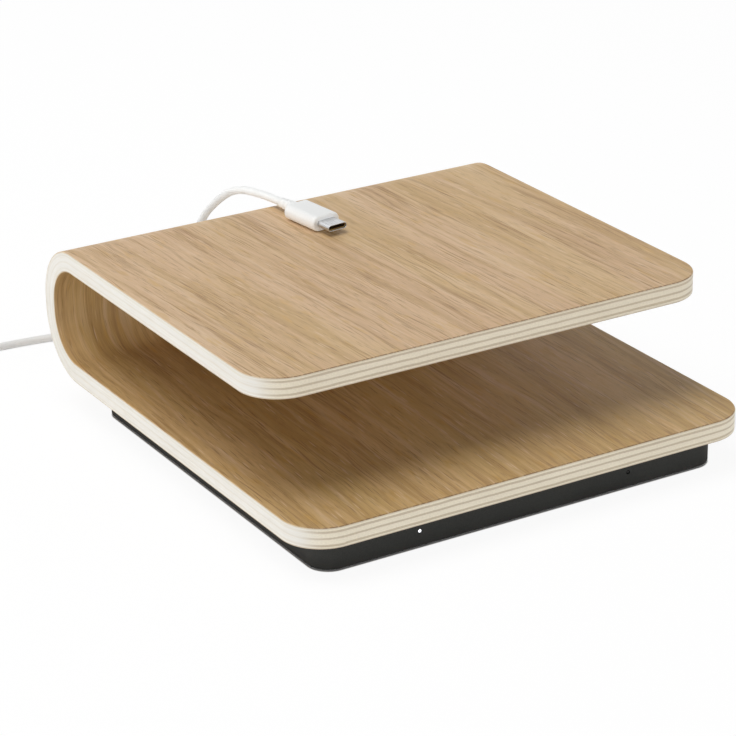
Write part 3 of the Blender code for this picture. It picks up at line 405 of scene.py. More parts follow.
birchLook = {
    "long": paint(249, 247, 241), "longLine": paint(233, 225, 208),      # plies seen along their grain
    "light": paint(251, 242, 222), "dark": paint(218, 203, 178),         # on the ends
    "bands": ((0.95, 1.70), (3.40, 4.05), (5.60, 6.35)),                 # mm below the outer face
    "softness": 0.16, "waveHeight": 0.55,                                # mm, of a band's border
    "streaks": {                                                         # width, length, wander in mm, seed
        "wave": (2.4, 9.0, 0.0, 4.0), "thread": (0.30, 16.0, 0.4, 9.0),
        "dots": (0.35, 0.7, 0.0, 15.0), "blush": (6.0, 35.0, 0.0, 21.0),
    },
    "dotTones": ((0.25, 0.90), (0.75, 1.06)), "threadTones": ((0.25, 0.95), (0.75, 1.03)),
    "blushTones": ((0.30, (0.97, 0.955, 0.93, 1.0)), (0.70, (1.02, 1.01, 1.0, 1.0))),
    "threadStep": (0.50, 0.72, (0.0, 0.7)), "bandShare": 0.30,
    "frontStep": (0.45, 0.95),                                           # from a side to a front edge
    "roughStep": (0.3, 0.7, (0.5, 0.66)), "depth": 0.04 * mm,
}


def makeBirch():
    # Darker plies between light ones: bands of end grain in front, and threads along the sides.
    material, tree, shader = startMaterial("birchPlyEdge", Specular_IOR_Level=0.3)
    look = birchLook
    edge = parts(tree, uvMap(tree, "edgeMap"))
    streaks = streaksFrom(tree, vector(tree, edge["Y"], edge["X"]), look["streaks"])
    depth = plus(tree, times(tree, edge["Y"], 1 / mm),
                 times(tree, minus(tree, streaks["wave"], 0.5), look["waveHeight"]))
    band, soft = 0.0, look["softness"]
    for low, high in look["bands"]:
        inside = times(tree, softStep(tree, depth, low - soft, low + soft),
                       softStep(tree, depth, high - soft, high + soft, (1.0, 0.0)))
        band = maths(tree, "MAXIMUM", band, inside)
    ends = varied(tree, mixed(tree, band, look["light"], look["dark"]), streaks["dots"], look["dotTones"])
    threads = softStep(tree, streaks["thread"], *look["threadStep"])
    sides = mixed(tree, threads, look["long"], look["longLine"])
    sides = mixed(tree, times(tree, band, look["bandShare"]), sides, look["longLine"])
    front = parts(tree, uvMap(tree, "edgeFacts"))["X"]
    base = mixed(tree, softStep(tree, front, *look["frontStep"]), sides, ends)
    base = varied(tree, base, streaks["thread"], look["threadTones"])
    setShader(tree, shader, Base_Color=varied(tree, base, streaks["blush"], look["blushTones"]),
              Roughness=softStep(tree, streaks["thread"], *look["roughStep"]),
              Normal=bump(tree, minus(tree, streaks["thread"], band), look["depth"]))
    return material


plasticLook = {    # two tones, size of the grain in mm, depth of its bump and roughness
    "blackTray": (paint(41, 42, 40), paint(51, 52, 49), 0.35, 0.022 * mm, (0.48, 0.62)),
    "blackRubber": (paint(34, 34, 34), paint(46, 46, 45), 0.5, 0.04 * mm, (0.8, 0.95)),
    "whiteSleeve": (paint(245, 246, 245), paint(248, 249, 248), 0.6, 0.003 * mm, (0.36, 0.5)),
    "whiteGrip": (paint(243, 244, 243), paint(247, 248, 247), 0.45, 0.004 * mm, (0.28, 0.4)),
    "chipResin": (paint(34, 34, 36), paint(48, 48, 50), 0.2, 0.01 * mm, (0.5, 0.7)),
    "capacitorFilm": (paint(196, 104, 38), paint(214, 124, 52), 2.5, 0.02 * mm, (0.35, 0.5)),
    "ferriteGrey": (paint(78, 78, 82), paint(100, 100, 104), 0.25, 0.02 * mm, (0.6, 0.8)),
    "foamGrey": (paint(88, 88, 92), paint(126, 126, 130), 0.5, 0.2 * mm, (0.85, 1.0)),
    "ledResin": (paint(246, 240, 208), paint(252, 248, 226), 0.3, 0.005 * mm, (0.3, 0.45)),
    "guideDark": (paint(20, 21, 22), paint(30, 31, 32), 0.3, 0.002 * mm, (0.08, 0.14)),
}
plasticShared = {
    "wearSize": 22.0,    # mm
    "wearDetail": 3.0, "grainShare": 0.6, "wearShare": 0.4, "step": (0.35, 0.65),
}


def makeMoulded(name):
    # Fine grain gives bump and a slight change of tone, and slow wear changes the sheen.
    material, tree, shader = startMaterial(name, Specular_IOR_Level=0.42)
    dark, light, size, depth, roughness = plasticLook[name]
    look = plasticShared
    place = objectPlace(tree)
    grain = useGroup(tree, "speckle", Vector=place, Size=size, Detail=2.0)
    wear = useGroup(tree, "speckle", Vector=place, Size=look["wearSize"], Detail=look["wearDetail"])
    tone = plus(tree, times(tree, grain, look["grainShare"]), times(tree, wear, look["wearShare"]))
    setShader(tree, shader, Base_Color=mixed(tree, softStep(tree, tone, *look["step"]), dark, light),
              Roughness=softStep(tree, wear, *look["step"], roughness), Normal=bump(tree, grain, depth))
    return material


metalLook = {    # two tones, roughness, and the pattern's scale on each axis, low where the scratches run
    "plugSteel": (paint(190, 191, 193), paint(212, 213, 214), (0.26, 0.36), (1.0, 0.06, 1.0)),
    "screwSteel": (paint(158, 158, 160), paint(196, 196, 198), (0.28, 0.42), (1.0, 1.0, 0.1)),
}
metalShared = {"size": 0.25, "detail": 4.0, "step": (0.3, 0.7), "depth": 0.003 * mm}


def makeMetal(name):
    # Brushed steel: noise drawn out along the lay.
    material, tree, shader = startMaterial(name, Metallic=1.0)
    dark, light, roughness, lay = metalLook[name]
    look = metalShared
    drawn = mapping(tree, objectPlace(tree), Scale=lay)
    scratch = useGroup(tree, "speckle", Vector=drawn, Size=look["size"], Detail=look["detail"])
    setShader(tree, shader, Base_Color=mixed(tree, softStep(tree, scratch, *look["step"]), dark, light),
              Roughness=softStep(tree, scratch, *look["step"], roughness),
              Normal=bump(tree, scratch, look["depth"]))
    return material


raisedLook = {    # tone and roughness between the ridges and on them, and the ridges' height, pitch and shape
    "copper": {"low": paint(92, 46, 26), "high": paint(222, 142, 92), "roughness": (0.6, 0.3),
               "height": 0.15 * mm, "pitch": 0.62 * mm, "step": (-1.0, 0.6)},
    "contacts": {"low": paint(26, 26, 28), "high": paint(214, 172, 92), "roughness": (0.6, 0.3),
                 "height": 0.04 * mm, "pitch": 0.5 * mm, "step": (-0.2, 0.2)},
    "ribbon": {"low": paint(168, 168, 172), "high": paint(208, 208, 212), "roughness": (0.5, 0.35),
               "height": 0.2 * mm, "pitch": 1.0 * mm, "step": (-1.0, 1.0)},
    "board": {"low": paint(18, 92, 52), "high": paint(30, 122, 70), "roughness": (0.42, 0.3),
              "height": 0.03 * mm, "pitch": 1.6 * mm, "step": (0.36, 0.42), "uneven": 0.55},
}


def setRaised(tree, shader, look, ridge):
    setShader(tree, shader, Base_Color=mixed(tree, ridge, look["low"], look["high"]),
              Roughness=softStep(tree, ridge, 0.0, 1.0, look["roughness"]),
              Normal=bump(tree, ridge, look["height"]))


def ridges(tree, along, look):    # the sine of the place, once round in each pitch
    wave = maths(tree, "SINE", times(tree, along, 2 * math.pi / look["pitch"]))
    return softStep(tree, wave, *look["step"])


def makeCopper(name, centre):
    # Wound flat coils show rings round their centre; the leads show the twist along them.
    material, tree, shader = startMaterial(name, Metallic=0.9)
    place = objectPlace(tree)
    if centre is None:
        reach = parts(tree, place)["Y"]
    else:
        flat = mapping(tree, mapping(tree, place, Location=(-centre, 0, 0)), Scale=(1, 1, 0))
        reach = addNode(tree, "VectorMath", {0: flat}, operation="LENGTH").outputs["Value"]
    setRaised(tree, shader, raisedLook["copper"], ridges(tree, reach, raisedLook["copper"]))
    return material


def makeContactFinish():
    # Gold strips in black resin, side by side round the mouth of a plug.
    material, tree, shader = startMaterial("plugContacts", Specular_IOR_Level=0.5)
    strips = ridges(tree, parts(tree, uvMap(tree, "wrapMap"))["X"], raisedLook["contacts"])
    setRaised(tree, shader, raisedLook["contacts"], strips)
    setShader(tree, shader, Metallic=strips)
    return material


def makeRibbonFinish():
    # Parallel wires under a clear sleeve, as ridges across the cable's width.
    material, tree, shader = startMaterial("ribbonGrey", Specular_IOR_Level=0.5)
    wires = ridges(tree, parts(tree, objectPlace(tree))["X"], raisedLook["ribbon"])
    setRaised(tree, shader, raisedLook["ribbon"], wires)
    return material


def makeBoardFinish():
    # Solder mask with tracks, which run along the cell borders of a squared pattern.
    material, tree, shader = startMaterial("boardGreen", Specular_IOR_Level=0.5)
    look = raisedLook["board"]
    place = mapping(tree, objectPlace(tree), Scale=(1, 1, mm))
    cells = voronoi(tree, place, 1 / look["pitch"], look["uneven"], "CHEBYCHEV")
    setRaised(tree, shader, look, softStep(tree, cells["Distance"], *look["step"]))
    return material


glowLook = {
    "strength": 2.0, "tones": (paint(236, 242, 250), paint(255, 255, 255)),
    "size": 0.35, "step": (0.3, 0.7),
    "fade": (0.25 * mm, 0.75 * mm, (1.0, 0.12)),    # out from the tip's middle
}


def makeGlow():
    # The lit guide: brightest at its tip and fading to its rim, with a slight mottling of the clear resin.
    look = glowLook
    material, tree, shader = startMaterial("guideLit", Roughness=0.2, Emission_Strength=look["strength"])
    mottle = useGroup(tree, "speckle", Vector=objectPlace(tree), Size=look["size"], Detail=2.0)
    glow = mixed(tree, softStep(tree, mottle, *look["step"]), *look["tones"])
    fade = softStep(tree, parts(tree, uvMap(tree, "wrapMap"))["Y"], *look["fade"])
    setShader(tree, shader, Base_Color=glow, Emission_Color=mixed(tree, 1.0, glow, fade, "MULTIPLY"))
    return material


makeStreakGroup()
makePoreGroup()
makeSpeckleGroup()
coilPitch = 82.5 * mm
finish = {name: makeOak(name) for name in oakLooks}
finish.update({name: makeMoulded(name) for name in plasticLook})
finish.update({name: makeMetal(name) for name in metalLook})
for name, centre in (("copperLeft", -coilPitch / 2), ("copperRight", coilPitch / 2), ("copperTwist", None)):
    finish[name] = makeCopper(name, centre)
finish.update({
    "birch": makeBirch(), "board": makeBoardFinish(), "ribbon": makeRibbonFinish(),
    "guideLit": makeGlow(), "plugContacts": makeContactFinish(),
})
print("finishes made:", len(finish))


def addPiece(name, data, material, body, nodes):
    data.materials.clear()
    data.materials.append(finish[material])
    piece = addObject(name, data)
    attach(piece, body)
    if nodes:
        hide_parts(*nodes)
    return piece


# Leads: each cord is one smooth curve through evenly spaced points

cordLook = {
    "diameter": 3.0 * mm,
    "spacing": 7.2 * mm,         # between the points of a loose stretch
    "hidden": 1.5 * mm,          # length that each end runs inside its sleeve
    "roundness": 7, "steps": 8,
    "sampling": 40,              # places read for each point of a route, before it is spaced evenly
}
powerLead = {                    # mm
    "exit": (-18.0, 96.65, 6.6),
    "route": ((-20.5, 110.0, 4.0), (-27.5, 120.5, 1.9), (-37.5, 129.0, 1.6), (-51.0, 135.2, 1.6),
              (-66.9, 139.3, 1.6), (-87.1, 141.6, 1.6), (-109.0, 142.0, 1.6)),
    "coilStart": (-131.0, 141.7, 1.6), "coilGap": 0.3,
    "middleRadius": 17.5, "pitch": 3.5, "perTurn": 24, "layers": (65, 64, 65, 64), "swing": 0.8,
    "level": 12.5, "levelSteps": 4, "slope": 22.0, "slopeSteps": 8, "rest": 3.0,
    "length": 1.5,               # metres
}
deviceLead = {
    "exit": (18.0, 96.65, 6.6),
    "route": ((20.5, 107.5, 4.2), (27.0, 116.0, 1.9), (34.5, 127.0, 1.6), (33.5, 138.5, 1.6),
              (25.5, 146.5, 1.6), (15.0, 150.5, 2.2), (6.0, 151.0, 7.0), (0.5, 148.0, 16.0),
              (-1.5, 142.5, 27.0), (-2.0, 134.7, 38.6), (-2.0, 124.1, 47.9), (-2.0, 115.6, 53.7),
              (-2.0, 103.3, 59.3), (-2.0, 87.6, 62.3)),
    "tip": (-2.8, 69.8, 64.5),
    "tipYaw": 6.6,               # degrees
    "length": 0.194,             # metres
}
gripToCord = 27.4 * mm           # from a plug's front face to where its cord starts


def runAlong(points):    # the distance along a line of points, from 0 at the first
    return np.concatenate([[0], np.cumsum(np.linalg.norm(np.diff(points, axis=0), axis=1))])


def smoothRoute(points, startWay, endWay, spacing):
    # A cubic spline with the given end directions: its second derivatives solve one linear system, then it is
    # read at even steps.
    stations = runAlong(points)
    steps = np.diff(stations)
    slopes = np.diff(points, axis=0) / steps[:, None]
    count = len(points)
    inner = np.arange(1, count - 1)
    system, known = np.zeros((count, count)), np.zeros((count, 3))
    system[0, :2], system[-1, -2:] = (2 * steps[0], steps[0]), (steps[-1], 2 * steps[-1])
    system[inner, inner - 1], system[inner, inner + 1] = steps[:-1], steps[1:]
    system[inner, inner] = 2 * (steps[:-1] + steps[1:])
    known[0], known[-1] = 6 * (slopes[0] - startWay), 6 * (endWay - slopes[-1])
    known[inner] = 6 * (slopes[1:] - slopes[:-1])
    bends = np.linalg.solve(system, known)
    fine = np.linspace(0, stations[-1], cordLook["sampling"] * count)
    span = np.clip(np.searchsorted(stations, fine, side="right") - 1, 0, count - 2)
    before, after = (fine - stations[span])[:, None], (stations[span + 1] - fine)[:, None]
    width = steps[span][:, None]
    curve = (bends[span] * after ** 3 + bends[span + 1] * before ** 3) / (6 * width)
    curve += (points[span] / width - bends[span] * width / 6) * after
    curve += (points[span + 1] / width - bends[span + 1] * width / 6) * before
    run = runAlong(curve)
    even = np.linspace(0, run[-1], max(2, round(run[-1] / spacing)) + 1)
    return np.stack([np.interp(even, run, curve[:, axis]) for axis in range(3)], axis=1)


def looseStretch(points, startWay, endWay):    # straight for one diameter at each end
    points, startWay, endWay = (np.array(item, float) for item in (points, startWay, endWay))
    first, last = points[0].copy(), points[-1].copy()
    points[0] += startWay * cordLook["diameter"]
    points[-1] -= endWay * cordLook["diameter"]
    return np.concatenate([[first], smoothRoute(points, startWay, endWay, cordLook["spacing"]), [last]])


def coilStretch(lead):
    # Flat spirals piled up: the radius changes evenly with the angle, in and out by turns, and half a turn
    # of climb with a slight swing leads from each layer to the next. A level run and an eased slope end it.
    perTurn, pitch, diameter = lead["perTurn"], lead["pitch"], cordLook["diameter"] / mm
    climb = np.arange(perTurn // 2) / (perTurn // 2)
    radius = lead["middleRadius"] + pitch * lead["layers"][0] / perTurn / 2
    centre = np.array(lead["coilStart"]) - (lead["coilGap"] + diameter, radius, 0)
    radii, heights = [], []
    for layer, count in enumerate(lead["layers"]):
        inwards = -1 if layer % 2 == 0 else 1
        radii.append(radius + inwards * pitch * np.arange(count) / perTurn)
        heights.append(np.full(count, layer * pitch))
        radius += inwards * pitch * count / perTurn
        if layer < len(lead["layers"]) - 1:
            radii.append(radius + inwards * lead["swing"] * np.sin(math.pi * climb))
            heights.append((layer + climb) * pitch)
    radii = np.concatenate([*radii, [radius]])
    heights = np.concatenate([*heights, [layer * pitch]])
    angle = math.pi / 2 + 2 * math.pi * np.arange(len(radii)) / perTurn
    wound = centre + np.stack([radii * np.cos(angle), radii * np.sin(angle), heights], axis=1)
    level = np.linspace(0, 1, lead["levelSteps"] + 1)[1:, None] * (0, -lead["level"], 0)
    share = np.linspace(0, 1, lead["slopeSteps"] + 1)[1:]
    drop = (wound[-1][2] - lead["rest"]) * share ** 2 * (3 - 2 * share)
    slope = np.stack([0 * share, -lead["level"] - lead["slope"] * share, -drop], axis=1)
    tail = wound[-1] + np.concatenate([level, slope])
    return np.concatenate([wound, tail, [tail[-1] - (0, diameter, 0)]]) * mm


def makeCord(name, points, body, nodes):
    # Handles point along the line between a point's neighbours, a third of the way to each.
    way = np.gradient(points, axis=0)
    way[0], way[-1] = points[1] - points[0], points[-1] - points[-2]
    way /= np.linalg.norm(way, axis=1)[:, None]
    steps = np.diff(runAlong(points))[:, None] / 3
    before = points - way * np.concatenate([steps[:1], steps])
    after = points + way * np.concatenate([steps, steps[-1:]])
    curve = bpy.data.curves.new(name, "CURVE")
    curve.dimensions = "3D"
    curve.bevel_depth, curve.bevel_resolution = cordLook["diameter"] / 2, cordLook["roundness"]
    curve.resolution_u = curve.render_resolution_u = cordLook["steps"]
    curve.use_fill_caps = True
    curve.twist_mode = "MINIMUM"
    line = curve.splines.new("BEZIER")
    line.bezier_points.add(len(points) - 1)
    for side in ("left", "right"):
        line.bezier_points.foreach_set(f"handle_{side}_type", np.zeros(len(points), np.int32))
    for key, values in (("co", points), ("handle_left", before), ("handle_right", after)):
        line.bezier_points.foreach_set(key, values.astype(np.float32).ravel())
    return addPiece(name, curve, "whiteSleeve", body, nodes)


def makeCords():
    hidden = np.array((0, cordLook["hidden"], 0))
    power = (powerLead["exit"], *powerLead["route"], powerLead["coilStart"])
    loose = looseStretch(np.array(power) * mm, (0, 1, 0), (-1, 0, 0))
    wound = coilStretch(powerLead)
    points = np.concatenate([[loose[0] - hidden], loose[:-1], wound, [wound[-1] - hidden]])
    powerCord = makeCord("powerCord", points, "power_lead", ("power_cord", "power_cord_coil"))

    yaw = math.radians(deviceLead["tipYaw"])
    towardsTip = np.array((math.sin(yaw), -math.cos(yaw), 0))
    device = (deviceLead["exit"], *deviceLead["route"], deviceLead["tip"])
    loose = looseStretch(np.array(device) * mm, (0, 1, 0), towardsTip)
    points = np.concatenate([[loose[0] - hidden], loose, [loose[-1] + towardsTip * cordLook["hidden"]]])
    deviceCord = makeCord("deviceCord", points, "device_lead", ("device_cord",))
    return powerCord, deviceCord, wound[-1], towardsTip


powerCord, deviceCord, powerEnd, towardsTip = makeCords()
print("cords laid")


# Surfaces. A piece is one or more grids of points; points that meet are merged, so seams and poles close.

meshRules = {"merge": 0.001 * mm, "sharp": 35.0}    # sharp edges, from this many degrees


def finishMesh(mesh, wasCut=False):    # merges points that meet; after a cut, faces with no area go too
    shape = bmesh.new()
    shape.from_mesh(mesh)
    bmesh.ops.remove_doubles(shape, verts=shape.verts, dist=meshRules["merge"])
    if wasCut:
        bmesh.ops.dissolve_degenerate(shape, edges=shape.edges, dist=meshRules["merge"])
    else:
        bmesh.ops.recalc_face_normals(shape, faces=shape.faces)
    shape.to_mesh(mesh)
    shape.free()
    mesh.shade_smooth()
    mesh.set_sharp_from_angle(angle=math.radians(meshRules["sharp"]))
    return mesh


def buildMesh(name, surfaces):
    first, points, quads, names = 0, [], [], []
    for surface in surfaces:
        rows, columns = surface["points"].shape[:2]
        index = first + np.arange(rows * columns).reshape(rows, columns)
        corners = (index[:-1, :-1], index[:-1, 1:], index[1:, 1:], index[1:, :-1])
        quads.append(np.stack(corners, axis=-1).reshape(-1, 4))
        points.append(surface["points"].reshape(-1, 3))
        names += [key for key in surface["maps"] if key not in names]
        first += rows * columns
    mesh = bpy.data.meshes.new(name)
    mesh.from_pydata(np.concatenate(points).tolist(), [], np.concatenate(quads).tolist())
    corner = np.empty(len(mesh.loops), np.int32)
    mesh.loops.foreach_get("vertex_index", corner)
    for key in names:    # a surface without this map gets zeros
        blank = [np.zeros(surface["points"].shape[:2] + (2,)) for surface in surfaces]
        values = [surface["maps"].get(key, empty).reshape(-1, 2) for surface, empty in zip(surfaces, blank)]
        layer = mesh.uv_layers.new(name=key)
        layer.data.foreach_set("uv", np.concatenate(values)[corner].astype(np.float32).ravel())
    return finishMesh(mesh)


def roundedOutline(width, height, radius, cornerSteps):
    # Round a rectangle with rounded corners: for each point its corner's centre, and the way out of it.
    quarter = np.linspace(0, math.pi / 2, cornerSteps + 1)
    centres, ways = [], []
    for turn, (right, up) in enumerate(((1, 1), (-1, 1), (-1, -1), (1, -1))):
        angle = quarter + turn * math.pi / 2
        ways.append(np.stack([np.cos(angle), np.sin(angle)], axis=1))
        centres.append(np.tile((right * (width / 2 - radius), up * (height / 2 - radius)), (len(angle), 1)))
    return (np.concatenate([*centres, centres[0][:1]]), np.concatenate([*ways, ways[0][:1]]))


def arc(inset, along, radius, start, end, steps=5):    # (inset, along) points on part of a circle, in degrees
    angle = np.radians(np.linspace(start, end, steps + 1))
    return np.stack([inset + radius * np.cos(angle), along + radius * np.sin(angle)], axis=1)


def carried(outline, radius, profile, axes="xyz", capped=(True, True)):
    # The outline carried through (inset, along) stations: centre + (radius - inset) * way, at along. A cap
    # closes an end at its middle.
    centres, ways = outline
    stations = np.concatenate([np.reshape(part, (-1, 2)) for part in profile])
    inset, along = stations.T
    flat = centres + (radius - inset)[:, None, None] * ways
    points = np.concatenate([flat, np.broadcast_to(along[:, None, None], flat.shape[:2] + (1,))], axis=2)
    wrap = np.stack(np.broadcast_arrays(runAlong(flat[0]), runAlong(stations)[:, None]), axis=2)
    for end, wanted in zip((0, -1), capped):
        if wanted:
            middle = np.broadcast_to((0, 0, along[end]), points[:1].shape)
            points = np.concatenate([middle, points] if end == 0 else [points, middle])
            wrap = np.concatenate([wrap[:1], wrap] if end == 0 else [wrap, wrap[-1:]])
    return {"points": points[..., ["xyz".index(axis) for axis in axes]], "maps": {"wrapMap": wrap}}


def disc(radius, profile, steps, axes="xyz", capped=(True, True)):    # a circle carried in the same way
    return carried(roundedOutline(2 * radius, 2 * radius, radius, steps), radius, profile, axes, capped)


def moved(surface, place):    # a surface turned and shifted by a matrix
    turn = np.array(place)[:3, :3].T
    return {**surface, "points": surface["points"] @ turn + np.array(place)[:3, 3]}


def meshAt(name, surface, x, y, z):
    return buildMesh(name, [moved(surface, Matrix.Translation((x, y, z)))])


def applyCuts(piece, operation, meshes):    # cuts or joins in one go, and keeps the result as its mesh
    group = bpy.data.collections.new(piece.name + "Tools")
    for mesh in meshes:
        group.objects.link(bpy.data.objects.new(mesh.name, mesh))
    cut = piece.modifiers.new("cut", "BOOLEAN")
    cut.operation, cut.solver, cut.operand_type, cut.collection = operation, "EXACT", "COLLECTION", group
    scene.collection.children.link(group)
    made = bpy.data.meshes.new_from_object(piece.evaluated_get(bpy.context.evaluated_depsgraph_get()))
    piece.modifiers.clear()
    piece.data = finishMesh(made, wasCut=True)
    for tool in list(group.objects):
        bpy.data.objects.remove(tool)
    bpy.data.collections.remove(group)


def rodMesh(name, x, y, radius, low, high, steps=12, wall=None):    # an upright rod, or a ring with a wall
    profile = [(0, low), (0, high)]
    if wall is not None:
        profile += [(wall, high), (wall, low), (0, low)]
    return meshAt(name, disc(radius, profile, steps, capped=(wall is None,) * 2), x, y, 0)


def boxMesh(name, size, centre, radius=0.0, axes="xyz"):    # a block between two ends of its third axis
    outline = roundedOutline(size[0], size[1], radius, cornerSteps=6 if radius else 0)
    return meshAt(name, carried(outline, radius, [(0, -size[2] / 2), (0, size[2] / 2)], axes), *centre)


# Shell: oak, birch and oak layers bent together

shell = {
    "width": 176.0 * mm, "depth": 187.5 * mm, "gap": 34.5 * mm, "setBack": 25.7 * mm, "underside": 12.0 * mm,
    "bendRadius": 23.0 * mm, "cornerRadius": 15.0 * mm, "thickness": 7.5 * mm, "veneer": 0.6 * mm,
    "eased": 0.42 * mm,          # round on the outer edges
    "support": 0.4 * mm,         # a row of faces this near each edge keeps the flats flat
    "cornerSteps": 28, "bendSteps": 40, "straightSteps": 6, "across": 10,
}
deckRun = shell["depth"] - shell["bendRadius"]    # these runs are all along the outer face
bendRun = shell["bendRadius"] * math.pi / 2
backRun = 2 * shell["thickness"] + shell["gap"] - 2 * shell["bendRadius"]


def sheetPlace(across, along, depth):
    # Along is measured round the outer face: a straight deck, a quarter turn, the short back, a quarter turn,
    # and the upper deck. Depth leads in from the outer face. Gives the place, and the true distance along at
    # that depth.
    radius = shell["bendRadius"]
    first = np.clip((along - deckRun) / radius, 0, math.pi / 2)
    second = np.clip((along - deckRun - bendRun - backRun) / radius, 0, math.pi / 2)
    climb = np.clip(along - deckRun - bendRun, 0, backRun)
    returned = np.maximum(along - deckRun - 2 * bendRun - backRun, 0)
    inner, deck = radius - depth, np.minimum(along, deckRun) - returned
    y = deck - shell["depth"] / 2 + inner * (np.sin(first) - 1 + np.cos(second))
    z = shell["underside"] + depth + inner * (1 - np.cos(first)) + climb + inner * np.sin(second)
    return np.stack(np.broadcast_arrays(across, y, z), axis=-1), along - depth * (first + second)


def sheetRows():
    # Rows across the sheet from its lower front edge to its upper one, closest in the corners and bends: for
    # each, how far along its corner's centre is, and the way from there to its end.
    corner = shell["cornerRadius"]
    stops = np.cumsum([0, deckRun, bendRun, backRun, bendRun, deckRun - shell["setBack"]])
    angle = np.linspace(0, math.pi / 2, shell["cornerSteps"] + 1)
    runs = ((corner, stops[1], shell["straightSteps"]), (stops[1], stops[2], shell["bendSteps"]),
            (stops[2], stops[3], 1), (stops[3], stops[4], shell["bendSteps"]),
            (stops[4], stops[5] - corner, shell["straightSteps"]))
    straight = np.concatenate([np.linspace(start, end, count + 1)[1:] for start, end, count in runs])[:-1]
    centres = np.concatenate([0 * angle + corner, straight, 0 * angle + stops[5] - corner])
    wayAlong = np.concatenate([-np.cos(angle), 0 * straight, np.sin(angle)])
    wayAcross = np.concatenate([np.sin(angle), 1 + 0 * straight, np.cos(angle)])
    return centres, wayAlong, wayAcross


def sheetFace(depth, inset):
    # One broad face of a layer: each row runs across from outline to outline, all at the same depth.
    centres, wayAlong, wayAcross = sheetRows()
    reach = shell["cornerRadius"] - inset
    half = (shell["width"] / 2 - shell["cornerRadius"] + reach * wayAcross)[:, None]
    inner = np.linspace(-1, 1, shell["across"] + 1) * (half - shell["support"])
    across = np.concatenate([-half, inner, half], axis=1)
    points, true = sheetPlace(across, (centres + reach * wayAlong)[:, None], depth)
    return {"points": points, "maps": {"sheetMap": np.stack(np.broadcast_arrays(across, true), axis=2)}}


def sheetWall(profile, turns=0.0):
    # The outline carried through (inset, depth) stations: front row, right side, upper row and left side in
    # turn. Turns say how far round the edge each station is.
    centres, wayAlong, wayAcross = sheetRows()
    corner, last = shell["cornerRadius"], len(centres) - 1
    side = shell["width"] / 2 - corner
    inner = np.linspace(-1, 1, shell["across"] + 1) * (side - shell["support"])
    row = np.concatenate([[-side], inner, [side]])
    ends, middle = 0 * row, np.arange(1, last)
    anchorX = np.concatenate([row, 0 * middle + side, row[::-1], 0 * middle - side, row[:1]])
    anchorS = np.concatenate(
        [ends + centres[0], centres[middle], ends + centres[last], centres[middle][::-1], centres[:1]])
    wayX = np.concatenate([ends, wayAcross[middle], ends, -wayAcross[middle][::-1], [0]])
    wayS = np.concatenate([ends - 1, wayAlong[middle], ends + 1, wayAlong[middle][::-1], [-1]])
    inset, depth = np.array(profile).T[..., None]
    across, along = anchorX + (corner - inset) * wayX, anchorS + (corner - inset) * wayS
    points, true = sheetPlace(across, along, depth)
    edge = runAlong(np.stack([across[-1], along[-1]], axis=1))
    turns = np.broadcast_to(turns, len(profile))[:, None]
    pairs = {"sheetMap": (across, true), "edgeMap": (edge, depth), "edgeFacts": (np.abs(wayS), turns)}
    maps = {key: np.stack(np.broadcast_arrays(*pair), axis=2) for key, pair in pairs.items()}
    return {"points": points, "maps": maps}


def makeShell():
    eased, veneer, thick = shell["eased"], shell["veneer"], shell["thickness"]
    rounding = arc(eased, eased, eased, -90, -180)
    turns = np.append(np.linspace(0, 0.5, len(rounding)), 1)    # 0.5 where the round ends, 1 on the glue line
    outer = sheetWall([*rounding, (0, veneer)], turns)
    inner = sheetWall([(0, thick - veneer), *(rounding[::-1] * (1, -1) + (0, thick))], turns[::-1])
    core = sheetWall([(0, veneer), (0, thick - veneer)])
    layers = (
        ("oakOuterVeneer", "oakOuter", "oak", "oak_veneer_outer", outer, (0, eased), (veneer, 0)),
        ("plyCore", "birch", "birch", "birch_ply_core", core, (veneer, 0), (thick - veneer, 0)),
        ("oakInnerVeneer", "oakInner", "oak", "oak_veneer_inner", inner, (thick - veneer, 0), (thick, eased)),
    )
    for name, material, slot, node, wall, below, above in layers:
        mesh = buildMesh(name, [sheetFace(*below), wall, sheetFace(*above)])
        addPiece(name, mesh, material, "charger", [node])


makeShell()
print("shell bent")


# Base tray

tray = {
    "width": 157.6 * mm, "frontY": -86.65 * mm, "backY": 68.85 * mm, "bottomZ": 0.5 * mm, "topZ": 11.7 * mm,
    "corner": 8.0 * mm, "wall": 2.0 * mm,
    "bottomRound": 0.7 * mm, "rimRound": 0.3 * mm, "floorFillet": 0.6 * mm,
    "footInset": 11.5 * mm, "footHole": 7.3 * mm, "footRecess": 1.0 * mm,
    "boss": 4.7 * mm, "headHole": 3.1 * mm, "headTop": 3.7 * mm, "shankHole": 1.7 * mm,
    "bossGap": 0.0001 * mm,      # keeps the bosses' tops clear of the rim's plane, for a clean join
    "standRadius": 2.6 * mm, "threadRadius": 1.1 * mm, "restGap": 0.1 * mm, "threadGap": 0.2 * mm,
    "post": (4.0 * mm, 1.5 * mm, 6.0 * mm), "postX": 30.0 * mm, "postGap": 0.85 * mm,
    "lightZ": 6.0 * mm, "lightHole": 0.8 * mm,
    "lightRound": 0.999,         # its corners, as a share of the hole's radius
    "portX": 18.0 * mm, "portZ": 6.6 * mm, "window": (9.8 * mm, 4.0 * mm),
    "windowRound": 0.47,         # its corners, as a share of the window's height
    "ribRadius": 21.0 * mm, "ribWall": 1.5 * mm,
    "overrun": 1.0 * mm,         # how far a cut runs past the face that it opens
}


def footPlaces():
    x = tray["width"] / 2 - tray["footInset"]
    ends = {"Front": tray["frontY"] + tray["footInset"], "Rear": tray["backY"] - tray["footInset"]}
    sides = {"Left": -x, "Right": x}
    return {(end, side): (sides[side], ends[end]) for end in ends for side in sides}


